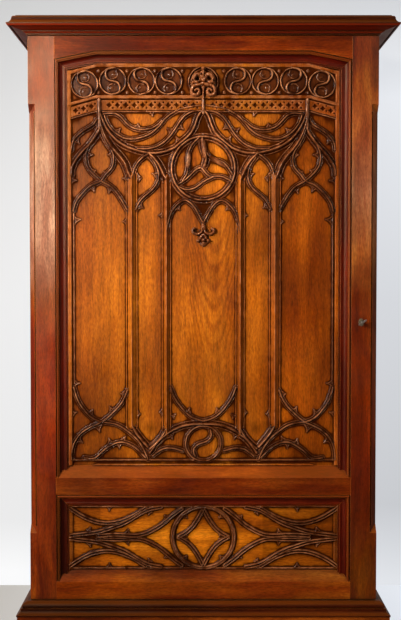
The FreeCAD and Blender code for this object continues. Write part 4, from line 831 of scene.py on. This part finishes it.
# Cusps of one half: x and z of the tip, the way it points, length.
CUSPS = (
    (388, 1210, -1, 0.1, 22), (248, 1203, 1, 0, 12), (200, 1345, -1, 0, 20), (190, 1246, -1, -0.6, 14),
    (137, 1223, 1, 0, 11), (393, 1333, -1, 0, 15), (250, 1340, 1, 0, 11), (347, 1414, -1, 0, 12),
    (298, 1414, 1, 0, 12), (347, 1362, -1, 0.3, 10), (305, 1358, 1, 0.3, 10), (385, 1440, -0.6, -0.8, 12),
    (372, 1496, -0.3, -1, 10), (262, 1496, -0.7, 0.7, 13), (206, 1508, -0.2, 1, 12),
    (118, 1500, 0.7, 0.5, 12), (60, 1492, -0.8, -0.6, 12), (86, 1470, 0.5, 0.8, 11),
    (160, 1536, -0.2, -1, 10), (240, 1440, -0.3, 1, 9), (205, 1320, 0.2, -1, 9), (170, 1360, 0.8, 0.4, 11),
    (74, 1240, -0.6, -0.7, 11), (30, 1255, 0.5, -0.8, 10), (393, 690, -1, 0, 14), (395, 600, -0.9, 0.3, 12),
    (254, 655, 1, 0.2, 14), (300, 620, 0.5, 1, 10), (350, 610, -0.5, 1, 10), (330, 535, -0.3, -1, 20),
    (385, 500, -0.8, -0.6, 12), (300, 512, 0.3, 1, 12), (248, 520, -0.6, 1, 10), (206, 592, -1, 0, 18),
    (137, 597, 1, 0, 18), (268, 478, 0, -1, 10), (98, 510, -0.3, -1, 12), (80, 600, -0.7, 0.7, 12),
    (40, 620, -0.3, 1, 10), (340, 1285, -0.4, -1, 11), (300, 1290, 0.3, -1, 10)
)
for x, z, away_x, away_z, long in CUSPS:
    for side in (-1, 1):
        UPPER.cusp((side * x, z + BASE), (side * away_x, away_z), 0.8 * long, 0.6 * long)

# The frieze: wheels, the ring behind the finial, and berries between the wheels.
for place, height in ((374, 1635), (285, 1645), (195, 1645), (109, 1645)):
    for side in (-1, 1):
        wheel(side * place, height + BASE, -side)
UPPER.ring((0, 1643 + BASE), 46, LINE)
UPPER.ring((0, 1643 + BASE), 39, FAINT)
for place in (330, 240, 152, 66):
    for side in (1, -1):
        for up in (-1, 1):
            UPPER.dome((side * place, 1763 + up * 34 - float(level(place))), (6, 7), 4.6)

# Lower field: two bays of ogee arches mirrored about its middle line, and a starred circle.
MIDDLE = 197.0
LOWER.slab(border, 5.0)
for height in (415.5, 217.5):
    LOWER.rib([(-BORDER, height), (BORDER, height)], FINE)
for points in (
        [(435, 296), (388, 265), (344, 247), (302, 242), (261, 250), (225, 265), (184, 290)],
        [(433, 201), (373, 208), (335, 214), (296, 226), (255, 241), (211, 267), (181, 283), (136, 293)],
        [(337, 202), (255, 204), (196, 205), (166, 217), (128, 241), (98, 267), (69, 288)],
        [(79, 198), (47, 218), (24, 245), (0, 288)]):
    pair(LOWER, raised(points), TWIN)
    pair(LOWER, raised([(x, 2 * MIDDLE - z) for x, z in points]), TWIN)
LOWER.ring((0, MIDDLE + BASE), 98, TWIN)
for x, z, away_x, away_z in (
        (300, 268, 0, -1), (360, 232, -0.3, 1), (240, 222, -0.2, 1), (180, 255, 0.4, -1),
        (120, 262, 0.7, 0.7), (150, 228, -0.6, -0.8), (52, 258, -0.7, -0.7), (60, 205, -1, -0.3)):
    for side in (1, -1):
        for up in (-1, 1):
            LOWER.cusp((side * x, MIDDLE + BASE + up * (z - MIDDLE)), (side * away_x, up * away_z), 8, 7)

for relief in (UPPER, LOWER):
    relief.h[:, np.abs(relief.xs) > EDGE] = 0
UPPER.h[UPPER.zs[:, None] > head_z(UPPER.xs[None, :]) + 1.0] = 0
UPPER.h[UPPER.zs < UPPER_SILL] = 0

# How much darker the ground is painted: by region, then round single spots, painted shade in the pockets
# between ribs, then on ribs and bands.
UPPER.dusk[UPPER.zs > 1722] = 0.5
UPPER.dusk[(UPPER.zs > 1500) & (UPPER.zs < BAND)] = 0.1
UPPER.dusk[UPPER.zs < 690] = 0.1
UPPER.dusk[:, UPPER.xs > 240] += 0.3
UPPER.dusk[:, UPPER.xs < -240] += 0.14
SPOTS = (
    (105, 1398, 24, 0.9), (222, 1404, 22, 0.9), (0, 1522, 16, 0.9), (0, 1500, 17, 0.8), (95, 1290, 20, 0.8),
    (0, 1250, 24, 0.9), (24, 1350, 14, 0.7), (78, 1336, 12, 0.6), (398, 1528, 18, 0.6),
    (300, 1530, 16, 0.5), (60, 1562, 16, 0.6), (150, 1448, 16, 0.5), (406, 1330, 14, 0.5),
    (140, 1400, 12, 0.6), (340, 1395, 12, 0.2), (170, 545, 18, 0.5), (345, 556, 14, 0.5),
    (300, 455, 20, 0.3), (60, 540, 16, 0.5), (130, 460, 18, 0.5)
)
x, z = UPPER.spots(slice(None), slice(None))
for across, up, radius, strength in SPOTS:
    for side in (-1, 1):
        UPPER.dusk += strength * np.exp(-((x - side * across) ** 2 + (z - up - BASE) ** 2) / radius ** 2)
LOWER.dusk[:, LOWER.xs > 190] += 0.26
LOWER.dusk[:, LOWER.xs < -330] += 0.22
for relief in (UPPER, LOWER):
    relief.dusk[relief.h > 1.0] *= 0.45
UPPER.dusk[UPPER.bands()] = 0.1
UPPER.dusk[UPPER.bands() & (UPPER.zs[:, None] > BAND)] = 0.34
LOWER.dusk[LOWER.bands()] = 0.62
finish_relief(UPPER, crowd_from=0.34, bright=0.78)
finish_relief(LOWER, crowd_from=0.52, bright=0.95)


def carve(label, relief, parts, stands_for, ground):
    """The carving of a field, cut across into pieces of one height."""
    keep = near_cells(relief)
    edges = np.linspace(relief.zs[0] - 1, relief.zs[-1] + 1, parts + 1)
    for number, (low, high) in enumerate(zip(edges, edges[1:])):
        rows = ((relief.zs[:-1] >= low) & (relief.zs[:-1] < high))[:, None]
        piece = grid_piece(f"{label}_{number + 1}", relief, keep, keep & rows, ground)
        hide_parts(*stands_for)


carve("upper_carving", UPPER, 8, ("upper_tracery", "frieze_tracery"), field_wood)
carve("lower_carving", LOWER, 2, ("lower_tracery",), low_field_wood)


def board(label, x, z, relief, ground):
    """A flat board whose front carries the dirt and painted shade of the carving planted on it."""
    cell = 4.0
    across, up = (np.linspace(low, high, int(round((high - low) / cell)) + 1) for low, high in (x, z))
    grid_x, grid_z = np.meshgrid(across, up)
    index = np.arange(grid_x.size).reshape(grid_x.shape)
    front = np.stack([grid_x.ravel() * MM, np.full(grid_x.size, PANEL_Y * MM), grid_z.ravel() * MM], axis=1)
    faces = np.stack([index[:-1, :-1], index[:-1, 1:], index[1:, 1:], index[1:, :-1]], axis=-1).reshape(-1, 4)
    rim = np.concatenate([index[0, :-1], index[:-1, -1], index[-1, :0:-1], index[:0:-1, 0]])
    behind = front[rim]
    behind[:, 1] = PANEL_BACK * MM
    far = len(front) + np.arange(len(rim))
    sides = np.stack([rim, far, np.roll(far, -1), np.roll(rim, -1)], axis=1)
    mesh = bpy.data.meshes.new(label)
    faces = faces.tolist() + sides.tolist() + [far.tolist()]
    mesh.from_pydata(np.vstack([front, behind]).tolist(), [], faces)
    columns, rows = (
        np.clip(((front[:, axis] / MM - start) / relief.step).round().astype(int), 0, count - 1)
        for axis, start, count in ((0, relief.xs[0], len(relief.xs)), (2, relief.zs[0], len(relief.zs))))
    dirt = np.zeros(len(mesh.vertices))
    dirt[:len(front)] = relief.dirt[rows, columns]
    mesh.materials.append(ground)
    piece = new_piece(label, mesh, {"dirt": dirt, "crest": np.zeros(len(dirt))})
    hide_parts(label.replace("_board", "_panel"))


board("upper_board", (-475, 475), (539, 1865), UPPER, field_wood)
board("lower_board", (-475, 475), (206, 465), LOWER, low_field_wood)


def knob(label, centre, size, node, feet, curls, eyes):
    """A carved leafy knob: bosses, rolled curls and their dark eyes, rising steeply from the panel."""
    relief = Relief(*((middle - half, middle + half) for middle, half in zip(centre, size)), 0.8)

    def spot(place, side):
        return centre[0] + side * place[0], centre[1] + place[1]

    for side in (1, -1):
        for place, radii, top in feet:
            relief.dome(spot(place, side), radii, top, power=0.35)
        for points, half, top in curls:
            roll = [(half * share, top * rise) for share, rise in ROLL]
            relief.rib([spot(place, side) for place in points], roll)
    for side in (1, -1):
        for place, radii, deep in eyes:
            relief.pit(spot(place, side), radii, deep)
    relief.h = np.where(relief.h > 0.3, blur(relief.h, 0.7), 0)
    relief.h += np.where(relief.h > 6, 1.1 * np.clip(tool_marks(relief.h.shape, 3.0), -1.6, 1.6), 0)
    # Creases are darkened with dirt and painted shade, and crests get a painted highlight.
    near = blur(relief.h, 4)
    relief.dirt = unit((near - relief.h) / 2.4)
    relief.crest = 0.5 * unit((relief.h - near) / 2.4)
    keep = all_corners(relief.h > 0.3)
    piece = grid_piece(label, relief, keep, keep, carved_wood)
    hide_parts(node)


knob("crown_carving", (0.0, 1762.0), (44, 56), "top_finial", feet=(
    ((0, 41), (8, 7), 28), ((0, 29), (11, 7), 23), ((0, 6), (30, 22), 17), ((21, -28), (20, 19), 16),
    ((0, -14), (14, 12), 19), ((0, 22), (18, 9), 20), ((33, -4), (6, 7), 19),
    ((36, -38), (6, 7), 20)), curls=(
    ([(1, 3), (8, 17), (18, 22), (28, 16), (31, 7), (27, -1), (20, -3)], 7.6, 27),
    ([(2, -6), (12, -10), (25, -12), (34, -20), (36, -32), (30, -41), (21, -42), (14, -36)], 7.0, 26),
    ([(14, -37), (13, -28), (19, -23), (26, -28)], 5.2, 24), ([(0, 32), (0, 10)], 5.0, 28),
    ([(0, 0), (0, -52)], 3.6, 21)), eyes=(
    ((18, 9.0), (5.2, 5.2), 20), ((23, -34), (3.4, 3.2), 14), ((8, -21), (3.0, 5.0), 14),
    ((33, 3), (4, 3), 9), ((9, 34), (3, 3), 8)))
knob("pendant_carving", (0.0, 1287.0), (44, 47), "pendant_finial", feet=(
    ((0, -20), (19, 21), 9), ((16, -24), (7.0, 7.0), 15), ((0, -22), (7.5, 5.5), 16),
    ((0, -35), (8, 9), 13), ((16, 3), (20, 10), 6)), curls=(
    ([(3, 22), (3, 12), (6, 3), (14, -2), (25, -2), (33, 4), (34, 11), (28, 14)], 5.2, 16),
    ([(0, -3), (6, -9), (10, -16)], 4.6, 14), ([(0, 27), (0, 10)], 6.0, 16)), eyes=(
    ((18, 8), (4.2, 3.2), 10), ((9, -26), (2.6, 3.0), 8)))


# ---- studio
def sheet(label, corners, colour, sides, one_sided):
    """A backdrop that glows for the camera only; each side has its glow by height, and a tint."""
    mesh = bpy.data.meshes.new(label)
    mesh.from_pydata(corners, [], [(0, 1, 2, 3)])
    g = Surface(label)
    place = g.split(g.coordinates())
    height = g.maths("MULTIPLY", place["Z"], GLOW_SCALE, clamp=True)
    across = g.maths("MULTIPLY_ADD", place["X"], 0.7, 0.5, clamp=True)
    glows = [g.ramp(height, *[(GLOW_SCALE * z, tuple(value * part for part in tint)) for z, value in stops])
             for stops, tint in sides]
    seen = g.add("ShaderNodeLightPath").outputs["Is Camera Ray"]
    g.shade(Base_Color=colour, Roughness=0.9, Specular_IOR_Level=0.0, Emission_Color=g.mix(across, *glows),
            Emission_Strength=seen)
    if one_sided:
        front = g.maths("SUBTRACT", 1.0, g.add("ShaderNodeNewGeometry").outputs["Backfacing"])
        clear = g.add("ShaderNodeMixShader")
        g.link(g.maths("MULTIPLY", seen, front), clear, 0)
        g.link(g.add("ShaderNodeBsdfTransparent").outputs[0], clear, 1)
        g.link(g.shader.outputs[0], clear, 2)
        g.link(clear.outputs[0], g.out, "Surface")
    mesh.materials.append(g.material)
    piece = linked(label, mesh)


GLOW_SCALE = 0.4
WALL = 0.365
REACH = 6
sheet("floor", [(-REACH, -REACH, 0), (REACH, -REACH, 0), (REACH, 7, 0), (-REACH, 7, 0)], (0.4, 0.34, 0.28),
      ((((0, 0.325), (1, 0.325)), (0.96, 1.03, 1.05)), (((0, 0.735), (1, 0.735)), (0.93, 1.0, 1.1))), False)
# The wall's glow dips at the right low down: a painted shadow of the cabinet.
sheet("wall", [(-REACH, WALL, 0), (REACH, WALL, 0), (REACH, WALL, 5), (-REACH, WALL, 5)], (0.1, 0.1, 0.1),
      ((((0.05, 0.9), (0.24, 0.75), (1.06, 0.665), (1.65, 0.555), (2.13, 0.46)), (0.99, 1.0, 1.01)),
       (((0.02, 0.765), (0.16, 0.67), (0.3, 0.58), (1.06, 0.67), (1.8, 0.81), (2.13, 0.58)),
        (0.965, 0.995, 1.05))), True)

# The world is faint from the front, stronger from behind for rays that bounced, and pale to the camera.
WORLD_FRONT = 0.09
WORLD_REAR = 0.42
WORLD_SEEN = 0.75
WORLD_LEAST = 0.015
world = bpy.data.worlds.new("studio")
scene.world = world
w = Graph(world)
sky = w.tree.nodes["Background"]
sky.inputs["Color"].default_value = (1.0, 0.93, 0.86, 1)
path = w.add("ShaderNodeLightPath").outputs
heading = w.split(w.add("ShaderNodeTexCoord").outputs["Generated"])
rearward = w.maths("ADD", heading["Y"], 0.0, clamp=True)
bounced = w.maths("ADD", path["Is Diffuse Ray"], path["Is Glossy Ray"])
bounced = w.maths("ADD", path["Is Transmission Ray"], bounced)
strength = w.maths("MULTIPLY_ADD", path["Is Diffuse Ray"], WORLD_FRONT, WORLD_LEAST)
strength = w.maths("MULTIPLY_ADD", path["Is Camera Ray"], WORLD_SEEN, strength)
strength = w.maths("MULTIPLY_ADD", bounced, w.maths("MULTIPLY", rearward, WORLD_REAR), strength)
w.link(strength, sky, "Strength")

# Name, place, aim, size, watts, colour, spread in degrees.
for label, place, aim, size, watts, colour, spread_angle in (
        ("left_light", (-2.5, -0.9, 2.0), (-0.2, -0.2, 1.45), (0.4, 1.0), 5.5, (0.94, 0.97, 1.0), 60),
        ("key_light", (-2.2, -1.95, 2.6), (-0.1, 0, 1.3), (0.42, 0.5), 22.5, (1.0, 0.96, 0.91), 90),
        ("front_light", (-2.1, -3.6, 2.0), (0.05, 0, 1.2), (0.8, 1.0), 15.5, (1.0, 0.95, 0.9), 45),
        ("sheen_light", (-0.97, -2.1, 2.06), (-0.72, -0.2, 1.66), (0.3, 0.9), 4.2, (1.0, 0.97, 0.94), 55),
        ("right_light", (1.3, -2.1, 2.4), (0.5, 0, 1.7), (0.35, 0.5), 2.4, (1.0, 0.97, 0.94), 100),
        ("side_light", (3.0, -1.2, 1.3), (0.4, 0, 1.0), (0.8, 1.6), 3.5, (1.0, 0.93, 0.86), 90)):
    light = bpy.data.lights.new(label, "AREA")
    light.shape = "RECTANGLE"
    light.size, light.size_y = size
    light.energy = watts
    light.color = colour
    light.spread = math.radians(spread_angle)
    lamp = linked(label, light)
    lamp.location = place
    lamp.rotation_euler = (Vector(aim) - Vector(place)).to_track_quat("-Z", "Y").to_euler()

TILT_DOWN = 2.06
camera = linked("camera", bpy.data.cameras.new("camera"))
camera.location = (-0.009, -3.721, 1.17)
camera.rotation_euler = Euler((math.radians(90 - TILT_DOWN), 0, 0))
camera.data.lens = 64.45
camera.data.sensor_width = 36
scene.camera = camera
scene.view_settings.view_transform = "Standard"
